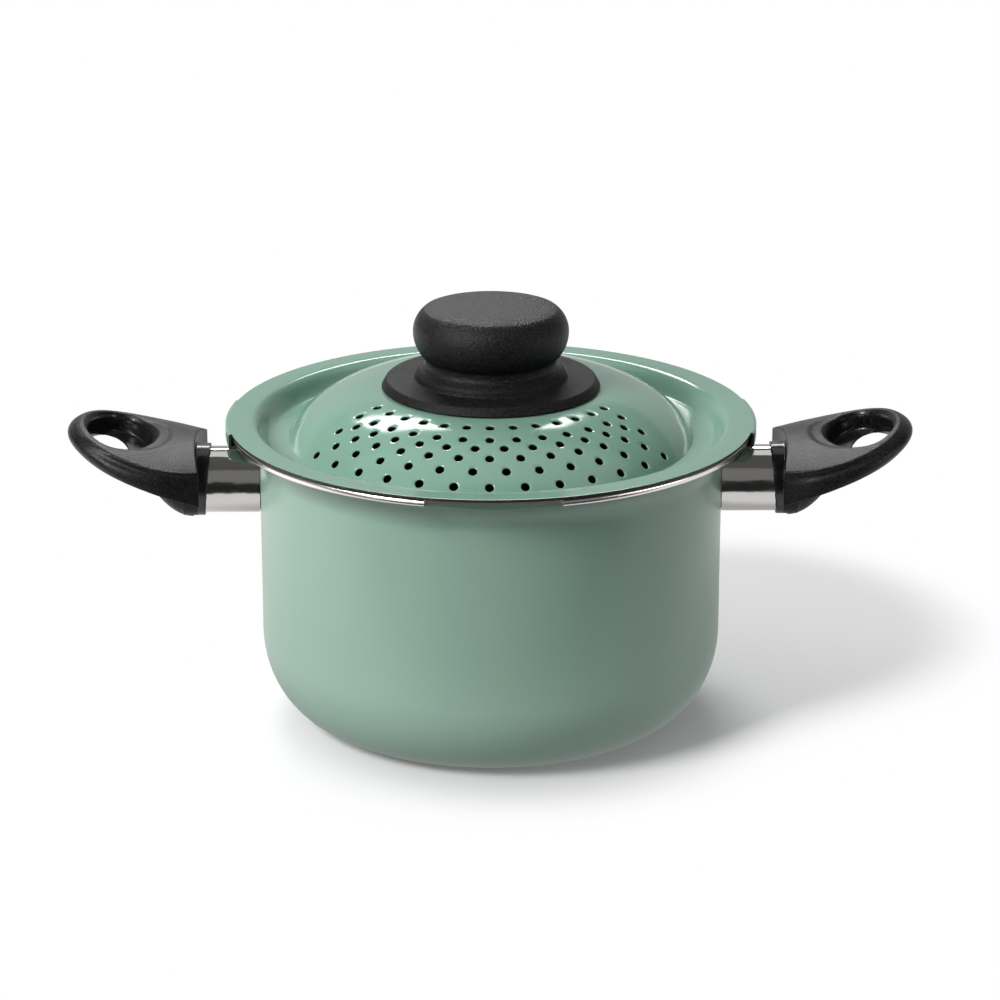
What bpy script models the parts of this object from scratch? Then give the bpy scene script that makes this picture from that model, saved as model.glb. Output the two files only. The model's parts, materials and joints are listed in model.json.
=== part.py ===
"""Pasta pot with a twist-lock strainer lid, at its real size.

Units are metres and +Z is up. The origin is the centre of the base where it stands on the
hob, the strainer holes face -Y, and the two handles lie along X.
"""
import math

import bmesh
import bpy
from mathutils import Matrix, Vector

# Fits
CLEARANCE = 0.0003            # between pieces that touch on the real pot
LOCK_CLEARANCE = 0.0008       # between the lid's lock tabs and the lip

# Pot body, drawn from one sheet with a flared neck
INNER_RADIUS = 0.100
WALL = 0.003
LIP_HEIGHT = 0.1353           # top of the lip above the hob
BASE_THICKNESS = 0.004
BASE_RECESS = 0.0005
BASE_RIM = 0.010              # ring round the recess that stands on the hob
CORNER_RUN = 0.031            # how far the bottom corner reaches in
CORNER_RISE = 0.0392
NECK_FLARE = 0.013            # how far the neck flares out to the lip's edge
NECK_RISE = 0.0146
NECK_INNER_EXTRA = 0.0014     # how much taller the flare is on the inside
LIP_THICKNESS = 0.003
LIP_LAND = 0.004              # flat width that the lid rests on
NOTCH_SIDE_GAP = 0.0035       # from a lock tab's side to the side of its cut-out

# Lid, drawn and pierced from one sheet
SHEET = 0.0012
FLANGE_OVERHANG = 0.0006      # flange beyond the lip
GUTTER_INSET = 0.0025         # outer edge of the gutter floor inside the pot's wall
GUTTER_DEPTH = 0.0086         # gutter floor below the flange
GUTTER_BEND = 0.0095          # width of the bend from the gutter floor up to the flange
GUTTER_BEND_LOW = 0.42        # shares of that width where the bend's curve turns
GUTTER_BEND_HIGH = 0.47
GUTTER_FLOOR = 0.0021         # width of the floor at the back
BACK_WALL_RUN = 0.0081        # steep wall at the back, in plan
FRONT_FOOT_INSET = 0.0053     # the dome's foot at the front, inside the one at the back
CREASE_RISE = 0.005           # crisp edge round the back of the dome, above the flange
DOME_RUN = 0.0433             # from the crease in to the plateau
PLATEAU_RISE = 0.0139         # plateau above the flange
BACK_SHARPNESS = 1.2          # how quickly the back's shape fades towards the sides
TAB_WIDTH = 0.051
HOOK_REACH = 0.0034           # lock hook under the lip

# Strainer holes: distance of each row in from the dome's foot and holes in it
HOLE_ROWS = ((0.0034, 13), (0.009, 12), (0.0146, 13), (0.0196, 12), (0.0246, 13), (0.0333, 13))
HOLE_DIAMETER = 0.0035
HOLE_STEP = math.radians(10.1)
STRAINER_TURN = math.radians(-1.0)

# Knob, with heights from its own underside
KNOB_HEIGHT = 0.0368
KNOB_RADIUS = 0.0345
KNOB_TOP_INSET = 0.0076       # edge of the flat top inside the bulge
KNOB_TOP_BEND = 0.0123        # how far the rounding above the bulge reaches in
KNOB_BULGE_HEIGHT = 0.0255
KNOB_UNDERCUT = 0.0054        # neck inside the bulge
KNOB_LOWER_BEND = 0.0127      # how far the rounding below the bulge would reach in
KNOB_NECK_HEIGHT = 0.0135
KNOB_NECK_DROP = 0.0022       # straight part of the neck
KNOB_COLLAR_OUT = 0.0044      # rounded collar below the neck
KNOB_COLLAR_HEIGHT = 0.0085
KNOB_FOOT_RADIUS = 0.0485
KNOB_FOOT_THICKNESS = 0.004
KNOB_RIM_SLANT = 0.002        # upper edge of the foot's rim inside the lower one
KNOB_FOOT_BEVEL = 0.0005
KNOB_WALL = 0.0045
KNOB_HOLLOW_BEVEL = 0.003
KNOB_BOSS_RADIUS = 0.008
INSERT_RADIUS = 0.0045
INSERT_LENGTH = 0.016
KNOB_SCREW_RADIUS = 0.0025
KNOB_SCREW_LENGTH = 0.014     # in the insert
KNOB_SCREW_HEAD_RADIUS = 0.0048
KNOB_SCREW_HEAD_HEIGHT = 0.003
KNOB_WASHER_RADIUS = 0.007
WASHER_THICKNESS = 0.0009
SCREW_HEAD_BEVEL = 0.0012

# Flame guard, an oval sleeve between the wall and the grip
HANDLE_DROP = 0.0275          # axis of guard and screw below the lip
GUARD_LENGTH = 0.0256         # from the wall
GUARD_HALF_WIDTH = 0.010
GUARD_HALF_HEIGHT = 0.015
GUARD_SHEET = 0.0008
GUARD_OVALNESS = 2.4

# Grip, with heights from the handle's axis
NOSE_LIP = 0.0010             # wall of the nose round the guard's end
NOSE_TOP_LAP = 0.004          # how far the nose reaches over the guard, above and below
NOSE_BOTTOM_LAP = 0.001
NOSE_LENGTH = 0.0028          # from the guard's end to the loop
GRIP_END_SAG = 0.003          # how far the ends of the loop's pot side reach towards the pot
GRIP_END_HALF_WIDTH = 0.0322
GRIP_SHOULDER = 0.0137        # from the loop's pot side to where it is widest
GRIP_HALF_WIDTH = 0.0368
GRIP_LENGTH = 0.0506          # to the tip of the top crease
GRIP_ROUNDNESS = 2.15
CREASE_ROOT = 0.013
CREASE_TIP = 0.0285
CREASE_SAG = 0.0025
GRIP_CROWN = 0.0062           # middle of the top above the crease, at the pot end
FLANK_DEPTH = 0.0097
FLANK_ROOT_EXTRA = 0.0063     # how much deeper the flank is at the pot end
FLANK_BULGE = 0.006           # at the tip
FLANK_COVE = 0.0009
# Flank from the crease to the underside: share of the way down, share of bulge and of cove
FLANK_LEVELS = ((0, 0, 0), (0.2, 0, 1), (0.42, 0.65, 0), (0.66, 1, 0), (0.88, 0.8, 0), (1, 0.4, 0))
FINGER_HOLE_INSET = 0.017     # its centre inside the tip
FINGER_HOLE_HALF_LENGTH = 0.014
FINGER_HOLE_HALF_WIDTH = 0.024
FINGER_HOLE_WALL = 0.0072     # its wall below the crease, down to a ledge
# Rounded rim of the finger hole: height above the crown and growth at each level
FINGER_HOLE_RIM = ((0.009, 0.008), (0.0012, 0.0034), (-0.0004, 0.0013), (-0.003, 0))
FINGER_GAP_SHIFT = 0.0054     # centre of the gap inside the ledge, beyond the hole's
FINGER_GAP_HALF_LENGTH = 0.0088
FINGER_GAP_HALF_WIDTH = 0.019
FINGER_GAP_DEPTH = 0.009      # its upper edge below the crease
RIB_DEPTH = 0.0171            # below the handle's axis
RIB_HALF_WIDTH = 0.0112
RIB_TAPER = 0.45              # share of its width that the rib loses towards its end
RIB_ROUNDNESS = 0.6           # share of its depth that is round
RIB_INSET = 0.0018            # its pot end inside the loop's
RIB_END_GAP = 0.0031          # from the rib's end to the finger gap

# Handle screw and stud
STUD_RADIUS = 0.0045
STUD_LENGTH = 0.016
STUD_FLANGE_RADIUS = 0.0065
STUD_FLANGE_THICKNESS = 0.0015
STUD_BORE_DEPTH = 0.0115
GRIP_SCREW_RADIUS = 0.002
COUNTERBORE_DEPTH = 0.014     # from the rib's end to the screw's seat
GRIP_SCREW_REACH = 0.010      # in the stud
GRIP_SCREW_HEAD_RADIUS = 0.004
GRIP_SCREW_HEAD_HEIGHT = 0.003
GRIP_WASHER_RADIUS = 0.0045

# Facets
BODY_STEPS = 48
KNOB_STEPS = 32
SCREW_STEPS = 12
ARC_STEPS = 4
TAB_STEPS = 3
LID_ARC_STEPS = 18            # columns from one lock tab to the other
HOLE_SIDES = 8

# Places that follow from the sizes, with distances from the pot's axis
OUTER_RADIUS = INNER_RADIUS + WALL
BASE_RECESS_RADIUS = OUTER_RADIUS - CORNER_RUN - BASE_RIM
LIP_RADIUS = OUTER_RADIUS + NECK_FLARE
FLANGE_TOP = LIP_HEIGHT + CLEARANCE + SHEET
FLANGE_RADIUS = LIP_RADIUS + FLANGE_OVERHANG
GUTTER_RADIUS = INNER_RADIUS - GUTTER_INSET
FLANGE_INNER_RADIUS = GUTTER_RADIUS + GUTTER_BEND
BACK_FOOT_RADIUS = GUTTER_RADIUS - GUTTER_FLOOR
FRONT_FOOT_RADIUS = BACK_FOOT_RADIUS - FRONT_FOOT_INSET
CREASE_RADIUS = BACK_FOOT_RADIUS - BACK_WALL_RUN
PLATEAU_RADIUS = CREASE_RADIUS - DOME_RUN
SKIRT_RADIUS = LIP_RADIUS + LOCK_CLEARANCE + SHEET
TAB_HALF_ANGLE = math.asin(TAB_WIDTH / 2 / SKIRT_RADIUS)
HOOK_RADIUS = LIP_RADIUS - HOOK_REACH
NOTCH_LINE = HOOK_RADIUS * math.cos(TAB_HALF_ANGLE) - LOCK_CLEARANCE
NOTCH_HALF_WIDTH = TAB_WIDTH / 2 + NOTCH_SIDE_GAP
PLATEAU_TOP = FLANGE_TOP + PLATEAU_RISE
KNOB_BOTTOM = PLATEAU_TOP + CLEARANCE
SCREW_HOLE_RADIUS = KNOB_SCREW_RADIUS + CLEARANCE
HANDLE_HEIGHT = LIP_HEIGHT - HANDLE_DROP
GUARD_END = OUTER_RADIUS + GUARD_LENGTH
NOSE_TOP_START = GUARD_END - NOSE_TOP_LAP
NOSE_BOTTOM_START = GUARD_END - NOSE_BOTTOM_LAP
GRIP_START = GUARD_END + NOSE_LENGTH
GRIP_WIDE_AT = GRIP_START + GRIP_SHOULDER
GRIP_TIP = GRIP_START + GRIP_LENGTH
FINGER_HOLE_CENTRE = GRIP_TIP - FINGER_HOLE_INSET
FINGER_GAP_CENTRE = FINGER_HOLE_CENTRE + FINGER_GAP_SHIFT
RIB_START = GRIP_START + RIB_INSET
RIB_END = FINGER_GAP_CENTRE - FINGER_GAP_HALF_LENGTH - RIB_END_GAP
STUD_END = OUTER_RADIUS + STUD_LENGTH
GRIP_SCREW_SEAT = RIB_END - COUNTERBORE_DEPTH
GRIP_SCREW_TIP = STUD_END - GRIP_SCREW_REACH


def arc_radius(run, drop):
    """Radius of an arc that starts level and falls by a drop over a run."""
    return (run**2 + drop**2) / (2 * drop)


DOME_ARC = arc_radius(FRONT_FOOT_RADIUS - PLATEAU_RADIUS, PLATEAU_RISE + GUTTER_DEPTH)
BACK_ARC = arc_radius(CREASE_RADIUS - PLATEAU_RADIUS, PLATEAU_RISE - CREASE_RISE)


def clear_scene():
    """Remove what the scene holds."""
    for obj in list(bpy.data.objects):
        bpy.data.objects.remove(obj, do_unlink=True)


def new_collection(name):
    """Make a collection in the scene."""
    collection = bpy.data.collections.new(name)
    bpy.context.scene.collection.children.link(collection)
    return collection


def srgb(value):
    """Turn one sRGB channel from 0 to 255 into a linear value."""
    value = value / 255
    return value / 12.92 if value <= 0.04045 else ((value + 0.055) / 1.055) ** 2.4


def make_material(name, rgb, metallic, roughness):
    """Make a Principled material from an sRGB colour."""
    material = bpy.data.materials.new(name)
    material.use_nodes = True
    shader = material.node_tree.nodes["Principled BSDF"]
    shader.inputs["Base Color"].default_value = (*[srgb(channel) for channel in rgb], 1)
    shader.inputs["Metallic"].default_value = metallic
    shader.inputs["Roughness"].default_value = roughness
    return material


def add_object(name, mesh, collection, material=None, smooth_angle=35):
    """Put a mesh in the scene as a named object."""
    obj = bpy.data.objects.new(name, mesh)
    collection.objects.link(obj)
    if material:
        mesh.materials.clear()
        mesh.materials.append(material)
    mesh.shade_smooth()
    mesh.set_sharp_from_angle(angle=math.radians(smooth_angle))
    return obj


def add_cutter(name, mesh):
    """Put a mesh among the cutters, hidden from renders."""
    obj = bpy.data.objects.new(name, mesh)
    cutters.objects.link(obj)
    obj.display_type = "WIRE"
    obj.hide_render = True
    return obj


def boolean(obj, tool, operation):
    """Cut, or join, an object with a tool."""
    modifier = obj.modifiers.new(tool.name, "BOOLEAN")
    modifier.operation = operation
    modifier.solver = "EXACT"
    modifier.object = tool


def apply_modifiers(obj):
    """Give an object the mesh that its modifiers make."""
    depsgraph = bpy.context.evaluated_depsgraph_get()
    mesh = bpy.data.meshes.new_from_object(obj.evaluated_get(depsgraph))
    obj.modifiers.clear()
    obj.data = mesh


def arc(centre, radii, start, end, steps=ARC_STEPS):
    """Points of an elliptical arc, from one angle to another in degrees."""
    points = []
    for i in range(steps + 1):
        angle = math.radians(start + (end - start) * i / steps)
        points.append((centre[0] + radii[0] * math.cos(angle), centre[1] + radii[1] * math.sin(angle)))
    return points


def bezier(controls, steps=ARC_STEPS):
    """Points of a Bezier curve through its first and last control."""
    points = []
    for i in range(steps + 1):
        row = [Vector(control) for control in controls]
        while len(row) > 1:
            row = [a.lerp(b, i / steps) for a, b in zip(row, row[1:])]
        points.append(tuple(row[0]))
    return points


def profile_mesh(name, points):
    """Make a mesh of the edges of a profile of radius and height."""
    kept = [points[0]]
    for point in points[1:]:
        if math.dist(point, kept[-1]) > 1e-6:
            kept.append(point)
    mesh = bpy.data.meshes.new(name)
    edges = [(i, i + 1) for i in range(len(kept) - 1)]
    mesh.from_pydata([(radius, 0, height) for radius, height in kept], edges, [])
    return mesh


def turn(obj, steps):
    """Turn an object's profile round Z into a solid."""
    screw = obj.modifiers.new("Turn", "SCREW")
    screw.steps = steps
    screw.render_steps = steps
    screw.use_merge_vertices = True
    screw.merge_threshold = 0.00001
    apply_modifiers(obj)


def turned_mesh(name, points, steps):
    """Mesh of a solid turned from a profile that runs down its outer side."""
    obj = bpy.data.objects.new(name, profile_mesh(name, points))
    cutters.objects.link(obj)
    turn(obj, steps)
    mesh = obj.data
    bpy.data.objects.remove(obj)
    return mesh


def loft_mesh(name, rings):
    """Mesh of a solid through rings that have equally many points."""
    bm = bmesh.new()
    loops = [[bm.verts.new(point) for point in ring] for ring in rings]
    for first, second in zip(loops, loops[1:]):
        for i in range(len(first)):
            j = (i + 1) % len(first)
            bm.faces.new((first[i], first[j], second[j], second[i]))
    bm.faces.new(loops[0])
    bm.faces.new(loops[-1])
    bmesh.ops.recalc_face_normals(bm, faces=bm.faces)
    mesh = bpy.data.meshes.new(name)
    bm.to_mesh(mesh)
    bm.free()
    return mesh


def x_cylinder(name, radius, start, end, height, steps=SCREW_STEPS):
    """Mesh of a cylinder along X."""
    bm = bmesh.new()
    place = Matrix.Translation(((start + end) / 2, 0, height)) @ Matrix.Rotation(math.pi / 2, 4, "Y")
    bmesh.ops.create_cone(
        bm,
        cap_ends=True,
        segments=steps,
        radius1=radius,
        radius2=radius,
        depth=end - start,
        matrix=place,
    )
    mesh = bpy.data.meshes.new(name)
    bm.to_mesh(mesh)
    bm.free()
    return mesh


def oval(half_width, half_height, steps=24):
    """Ring of Y and Z round the handle's axis, a little squarer than an ellipse."""
    ring = []
    for i in range(steps):
        angle = 2 * math.pi * i / steps
        across = math.copysign(abs(math.cos(angle)) ** (2 / GUARD_OVALNESS), math.cos(angle))
        up = math.copysign(abs(math.sin(angle)) ** (2 / GUARD_OVALNESS), math.sin(angle))
        ring.append((half_width * across, HANDLE_HEIGHT + half_height * up))
    return ring


def place_pair(name, mesh, material):
    """Place a piece on the right handle and, turned half round, on the left one."""
    right = add_object(name + "_right", mesh, pot, material)
    left = add_object(name + "_left", mesh, pot, material)
    left.rotation_euler.z = math.pi
    return right, left


def outer_profile(gap=0.0):
    """Outside of the pot from the lip down to the wall's lower end, moved out by a gap."""
    lip_under = LIP_HEIGHT - LIP_THICKNESS
    centre = (LIP_RADIUS, lip_under - NECK_RISE)
    neck = arc(centre, (-NECK_FLARE + gap, NECK_RISE - gap), 90, 0)
    return neck + [(OUTER_RADIUS + gap, CORNER_RISE)]


def neck_underside(radius):
    """Height of the flare's underside at a radius."""
    reach = (LIP_RADIUS - radius) / NECK_FLARE
    return LIP_HEIGHT - LIP_THICKNESS - NECK_RISE * (1 - math.sqrt(1 - reach * reach))


def make_pot_body():
    """Deep pot with a rounded corner, a flared neck and two cut-outs in its lip."""
    inner_flare = NECK_FLARE + WALL - LIP_LAND
    inner_rise = NECK_RISE + NECK_INNER_EXTRA
    corner_centre = (OUTER_RADIUS - CORNER_RUN, CORNER_RISE)
    profile = [(0, BASE_THICKNESS)]
    profile += arc(corner_centre, (CORNER_RUN - WALL, CORNER_RISE - BASE_THICKNESS), -90, 0)
    profile += arc((INNER_RADIUS + inner_flare, LIP_HEIGHT - inner_rise), (-inner_flare, inner_rise), 0, 90)
    profile += [(LIP_RADIUS, LIP_HEIGHT)]
    profile += outer_profile()
    profile += arc(corner_centre, (CORNER_RUN, CORNER_RISE), 0, -90, 7)
    profile += [(BASE_RECESS_RADIUS, 0), (BASE_RECESS_RADIUS - 2 * BASE_RECESS, BASE_RECESS), (0, BASE_RECESS)]
    body = add_object("pot_body", turned_mesh("pot_body", profile, BODY_STEPS), pot, enamel)
    bm = bmesh.new()
    depth = LIP_RADIUS - NOTCH_LINE + WALL
    for side in (-1, 1):
        place = Matrix.Translation((0, side * (NOTCH_LINE + depth / 2), LIP_HEIGHT - NECK_RISE / 2 + WALL))
        size = Matrix.Diagonal((2 * NOTCH_HALF_WIDTH, depth, NECK_RISE, 1))
        bmesh.ops.create_cube(bm, size=1, matrix=place @ size)
    mesh = bpy.data.meshes.new("lip_cut_outs")
    bm.to_mesh(mesh)
    bm.free()
    boolean(body, add_cutter("lip_cut_outs", mesh), "DIFFERENCE")


def front_rise(radius):
    """Top of the lid above the flange at the front of the dome, at a radius."""
    out = max(radius - PLATEAU_RADIUS, 0)
    return PLATEAU_RISE - DOME_ARC + math.sqrt(DOME_ARC**2 - out**2)


def back_rise(radius):
    """Top of the lid above the flange at the back of the dome, inside the crease."""
    return PLATEAU_RISE - BACK_ARC + math.sqrt(BACK_ARC**2 - max(radius - PLATEAU_RADIUS, 0) ** 2)


def lid_profile():
    """Top of the lid at its front, from the screw hole to the flange's edge."""
    rings = [SCREW_HOLE_RADIUS]
    rings += [PLATEAU_RADIUS + (CREASE_RADIUS - PLATEAU_RADIUS) * math.sin(math.pi / 2 * i / 6) for i in range(7)]
    points = [(radius, front_rise(radius)) for radius in rings]
    points += [(FRONT_FOOT_RADIUS, -GUTTER_DEPTH)]
    floor_end = (GUTTER_RADIUS, -GUTTER_DEPTH)
    low = (GUTTER_RADIUS + GUTTER_BEND_LOW * GUTTER_BEND, -GUTTER_DEPTH)
    high = (GUTTER_RADIUS + GUTTER_BEND_HIGH * GUTTER_BEND, 0)
    points += bezier((floor_end, low, high, (FLANGE_INNER_RADIUS, 0)))
    points += [(FLANGE_RADIUS, 0)]
    return [(radius, FLANGE_TOP + height) for radius, height in points]


def shape_dome(bm):
    """Move the turned front's points so that the back gets its crease and steep wall."""
    foot = FRONT_FOOT_RADIUS
    for vertex in bm.verts:
        radius = math.hypot(vertex.co.x, vertex.co.y)
        if radius < PLATEAU_RADIUS or radius > foot + CLEARANCE:
            continue
        back = max(0, vertex.co.y / radius) ** BACK_SHARPNESS
        down = max(0, (radius - CREASE_RADIUS) / (foot - CREASE_RADIUS))
        back_height = back_rise(min(radius, CREASE_RADIUS)) - down * (CREASE_RISE + GUTTER_DEPTH)
        height = front_rise(min(radius, foot)) * (1 - back) + back_height * back
        stretch = (radius + back * down * (BACK_FOOT_RADIUS - foot)) / radius
        vertex.co = (vertex.co.x * stretch, vertex.co.y * stretch, FLANGE_TOP + height)


def spin_profile(bm, points, start, end, steps):
    """Turn a profile round Z from one angle to another."""
    edges = []
    before = None
    for radius, height in points:
        vertex = bm.verts.new((radius * math.cos(start), radius * math.sin(start), height))
        if before:
            edges.append(bm.edges.new((before, vertex)))
        before = vertex
    bmesh.ops.spin(
        bm,
        geom=edges,
        cent=(0, 0, 0),
        axis=(0, 0, 1),
        angle=end - start,
        steps=steps,
    )


def make_hole_punches():
    """One cylinder for each strainer hole, square to the dome."""
    bm = bmesh.new()
    for inset, count in HOLE_ROWS:
        radius = FRONT_FOOT_RADIUS - inset
        slope = math.asin((radius - PLATEAU_RADIUS) / DOME_ARC)
        for i in range(count):
            angle = -math.pi / 2 + STRAINER_TURN + (i - (count - 1) / 2) * HOLE_STEP
            place = Matrix.Rotation(angle, 4, "Z")
            place @= Matrix.Translation((radius, 0, FLANGE_TOP + front_rise(radius)))
            place @= Matrix.Rotation(slope, 4, "Y")
            bmesh.ops.create_cone(
                bm,
                cap_ends=True,
                segments=HOLE_SIDES,
                radius1=HOLE_DIAMETER / 2,
                radius2=HOLE_DIAMETER / 2,
                depth=4 * SHEET,
                matrix=place,
            )
    mesh = bpy.data.meshes.new("hole_punches")
    bm.to_mesh(mesh)
    bm.free()
    return add_cutter("hole_punches", mesh)


def make_lid_shell():
    """Pierced lid with a lopsided dome, a gutter, a flange and two lock tabs."""
    bm = bmesh.new()
    profile = lid_profile()
    hook_top = neck_underside(HOOK_RADIUS) - LOCK_CLEARANCE
    hook_bottom = hook_top - SHEET
    bend = SHEET
    tab = [(SKIRT_RADIUS - bend / 3, FLANGE_TOP - bend / 3), (SKIRT_RADIUS, FLANGE_TOP - bend)]
    tab += [(SKIRT_RADIUS, hook_bottom + bend), (SKIRT_RADIUS - bend, hook_bottom), (HOOK_RADIUS, hook_bottom)]
    for middle in (0, math.pi):
        spin_profile(bm, profile + tab, middle - TAB_HALF_ANGLE, middle + TAB_HALF_ANGLE, TAB_STEPS)
        past = middle + TAB_HALF_ANGLE
        spin_profile(bm, profile, past, past + math.pi - 2 * TAB_HALF_ANGLE, LID_ARC_STEPS)
    bmesh.ops.remove_doubles(bm, verts=bm.verts, dist=0.00002)
    shape_dome(bm)
    bmesh.ops.recalc_face_normals(bm, faces=bm.faces)
    top = min(bm.faces, key=lambda face: face.calc_center_median().to_2d().length)
    if top.normal.z < 0:
        bmesh.ops.reverse_faces(bm, faces=bm.faces)
    mesh = bpy.data.meshes.new("lid_shell")
    bm.to_mesh(mesh)
    bm.free()
    lid = add_object("lid_shell", mesh, pot, lid_enamel)
    solidify = lid.modifiers.new("Sheet", "SOLIDIFY")
    solidify.thickness = SHEET
    solidify.offset = -1
    solidify.use_even_offset = True
    boolean(lid, make_hole_punches(), "DIFFERENCE")


def make_knob():
    """Moulded knob, hollow below, with a boss round the brass insert."""
    foot_edge = KNOB_FOOT_RADIUS - KNOB_FOOT_BEVEL
    roof = KNOB_HEIGHT - KNOB_WALL
    pocket = INSERT_RADIUS + CLEARANCE
    neck = KNOB_RADIUS - KNOB_UNDERCUT
    hollow = neck - KNOB_WALL
    crisp = math.degrees(math.acos(1 - KNOB_TOP_INSET / KNOB_TOP_BEND))
    rise = (KNOB_HEIGHT - KNOB_BULGE_HEIGHT) / math.sin(math.radians(crisp))
    profile = [(0, KNOB_HEIGHT)]
    profile += arc((KNOB_RADIUS - KNOB_TOP_BEND, KNOB_BULGE_HEIGHT), (KNOB_TOP_BEND, rise), crisp, 0)
    under = math.degrees(math.acos(1 - KNOB_UNDERCUT / KNOB_LOWER_BEND))
    fall = (KNOB_BULGE_HEIGHT - KNOB_NECK_HEIGHT) / math.sin(math.radians(under))
    profile += arc((KNOB_RADIUS - KNOB_LOWER_BEND, KNOB_BULGE_HEIGHT), (KNOB_LOWER_BEND, fall), 0, -under)
    collar = neck + KNOB_COLLAR_OUT
    neck_end = (neck, KNOB_NECK_HEIGHT - KNOB_NECK_DROP)
    collar_end = (collar, KNOB_FOOT_THICKNESS)
    profile += bezier((neck_end, (neck, KNOB_COLLAR_HEIGHT), (collar, KNOB_COLLAR_HEIGHT), collar_end))
    profile += [(KNOB_FOOT_RADIUS - KNOB_RIM_SLANT, KNOB_FOOT_THICKNESS), (KNOB_FOOT_RADIUS, KNOB_FOOT_BEVEL)]
    profile += [(foot_edge, 0), (hollow, 0)]
    profile += [(hollow, roof - KNOB_HOLLOW_BEVEL), (hollow - KNOB_HOLLOW_BEVEL, roof)]
    profile += [(KNOB_BOSS_RADIUS, roof), (KNOB_BOSS_RADIUS, 0)]
    profile += [(pocket, 0), (pocket, INSERT_LENGTH + CLEARANCE), (0, INSERT_LENGTH + CLEARANCE)]
    raised = [(radius, KNOB_BOTTOM + height) for radius, height in profile]
    add_object("knob", turned_mesh("knob", raised, KNOB_STEPS), pot, bakelite)


def make_knob_fixing():
    """Brass insert, screw and washer that hold the knob on the lid."""
    bore = KNOB_SCREW_RADIUS + CLEARANCE
    bore_depth = KNOB_SCREW_LENGTH + CLEARANCE
    insert = [(0, INSERT_LENGTH), (INSERT_RADIUS, INSERT_LENGTH), (INSERT_RADIUS, 0)]
    insert += [(bore, 0), (bore, bore_depth), (0, bore_depth)]
    raised = [(radius, KNOB_BOTTOM + height) for radius, height in insert]
    add_object("knob_insert", turned_mesh("knob_insert", raised, SCREW_STEPS), pot, brass)
    washer_top = PLATEAU_TOP - SHEET - CLEARANCE
    washer_bottom = washer_top - WASHER_THICKNESS
    washer = [(bore, washer_top), (KNOB_WASHER_RADIUS, washer_top), (KNOB_WASHER_RADIUS, washer_bottom)]
    washer += [(bore, washer_bottom), (bore, washer_top)]
    add_object("knob_washer", turned_mesh("knob_washer", washer, SCREW_STEPS), pot, steel)
    head_top = washer_bottom - CLEARANCE
    head_bottom = head_top - KNOB_SCREW_HEAD_HEIGHT
    screw_top = KNOB_BOTTOM + KNOB_SCREW_LENGTH
    screw = [(0, screw_top), (KNOB_SCREW_RADIUS, screw_top), (KNOB_SCREW_RADIUS, head_top)]
    screw += [(KNOB_SCREW_HEAD_RADIUS, head_top), (KNOB_SCREW_HEAD_RADIUS, head_bottom + SCREW_HEAD_BEVEL)]
    screw += [(KNOB_SCREW_HEAD_RADIUS - SCREW_HEAD_BEVEL, head_bottom), (0, head_bottom)]
    add_object("knob_screw", turned_mesh("knob_screw", screw, SCREW_STEPS), pot, steel)


def make_wall_cutter():
    """Solid that follows the pot's outside at the clearance."""
    outside = outer_profile(CLEARANCE)
    profile = [(0, outside[0][1] + LIP_THICKNESS), (outside[0][0], outside[0][1] + LIP_THICKNESS)]
    profile += outside + [(0, CORNER_RISE)]
    return add_cutter("wall_cutter", turned_mesh("wall_cutter", profile, 4 * BODY_STEPS))


def make_guards(wall_cutter):
    """Oval sheet sleeves, cut to the pot's wall and neck."""
    ring = oval(GUARD_HALF_WIDTH, GUARD_HALF_HEIGHT)
    bm = bmesh.new()
    start = [bm.verts.new((OUTER_RADIUS - 3 * WALL, across, height)) for across, height in ring]
    edges = [bm.edges.new((start[i - 1], start[i])) for i in range(len(start))]
    moved = bmesh.ops.extrude_edge_only(bm, edges=edges)["geom"]
    for vertex in moved:
        if isinstance(vertex, bmesh.types.BMVert):
            vertex.co.x = GUARD_END
    bmesh.ops.recalc_face_normals(bm, faces=bm.faces)
    if sum(face.normal.z * (face.calc_center_median().z - HANDLE_HEIGHT) for face in bm.faces) < 0:
        bmesh.ops.reverse_faces(bm, faces=bm.faces)
    mesh = bpy.data.meshes.new("flame_guard")
    bm.to_mesh(mesh)
    bm.free()
    guard = add_cutter("guard_blank", mesh)
    solidify = guard.modifiers.new("Sheet", "SOLIDIFY")
    solidify.thickness = GUARD_SHEET
    solidify.offset = -1
    boolean(guard, wall_cutter, "DIFFERENCE")
    apply_modifiers(guard)
    place_pair("flame_guard", guard.data, stainless)
    bpy.data.objects.remove(guard)


def make_studs(wall_cutter):
    """Threaded studs with a weld flange that follows the wall."""
    flange_end = OUTER_RADIUS + CLEARANCE + STUD_FLANGE_THICKNESS
    inside = OUTER_RADIUS - WALL
    stud = add_cutter("stud_blank", x_cylinder("handle_stud", STUD_RADIUS, inside, STUD_END, HANDLE_HEIGHT))
    flange = x_cylinder("stud_flange", STUD_FLANGE_RADIUS, inside, flange_end, HANDLE_HEIGHT)
    bore_radius = GRIP_SCREW_RADIUS + CLEARANCE
    bore = x_cylinder("stud_bore", bore_radius, STUD_END - STUD_BORE_DEPTH, STUD_END + WALL, HANDLE_HEIGHT)
    boolean(stud, add_cutter("stud_flange", flange), "UNION")
    boolean(stud, add_cutter("stud_bore", bore), "DIFFERENCE")
    boolean(stud, wall_cutter, "DIFFERENCE")
    apply_modifiers(stud)
    place_pair("handle_stud", stud.data, steel)
    bpy.data.objects.remove(stud)


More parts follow.
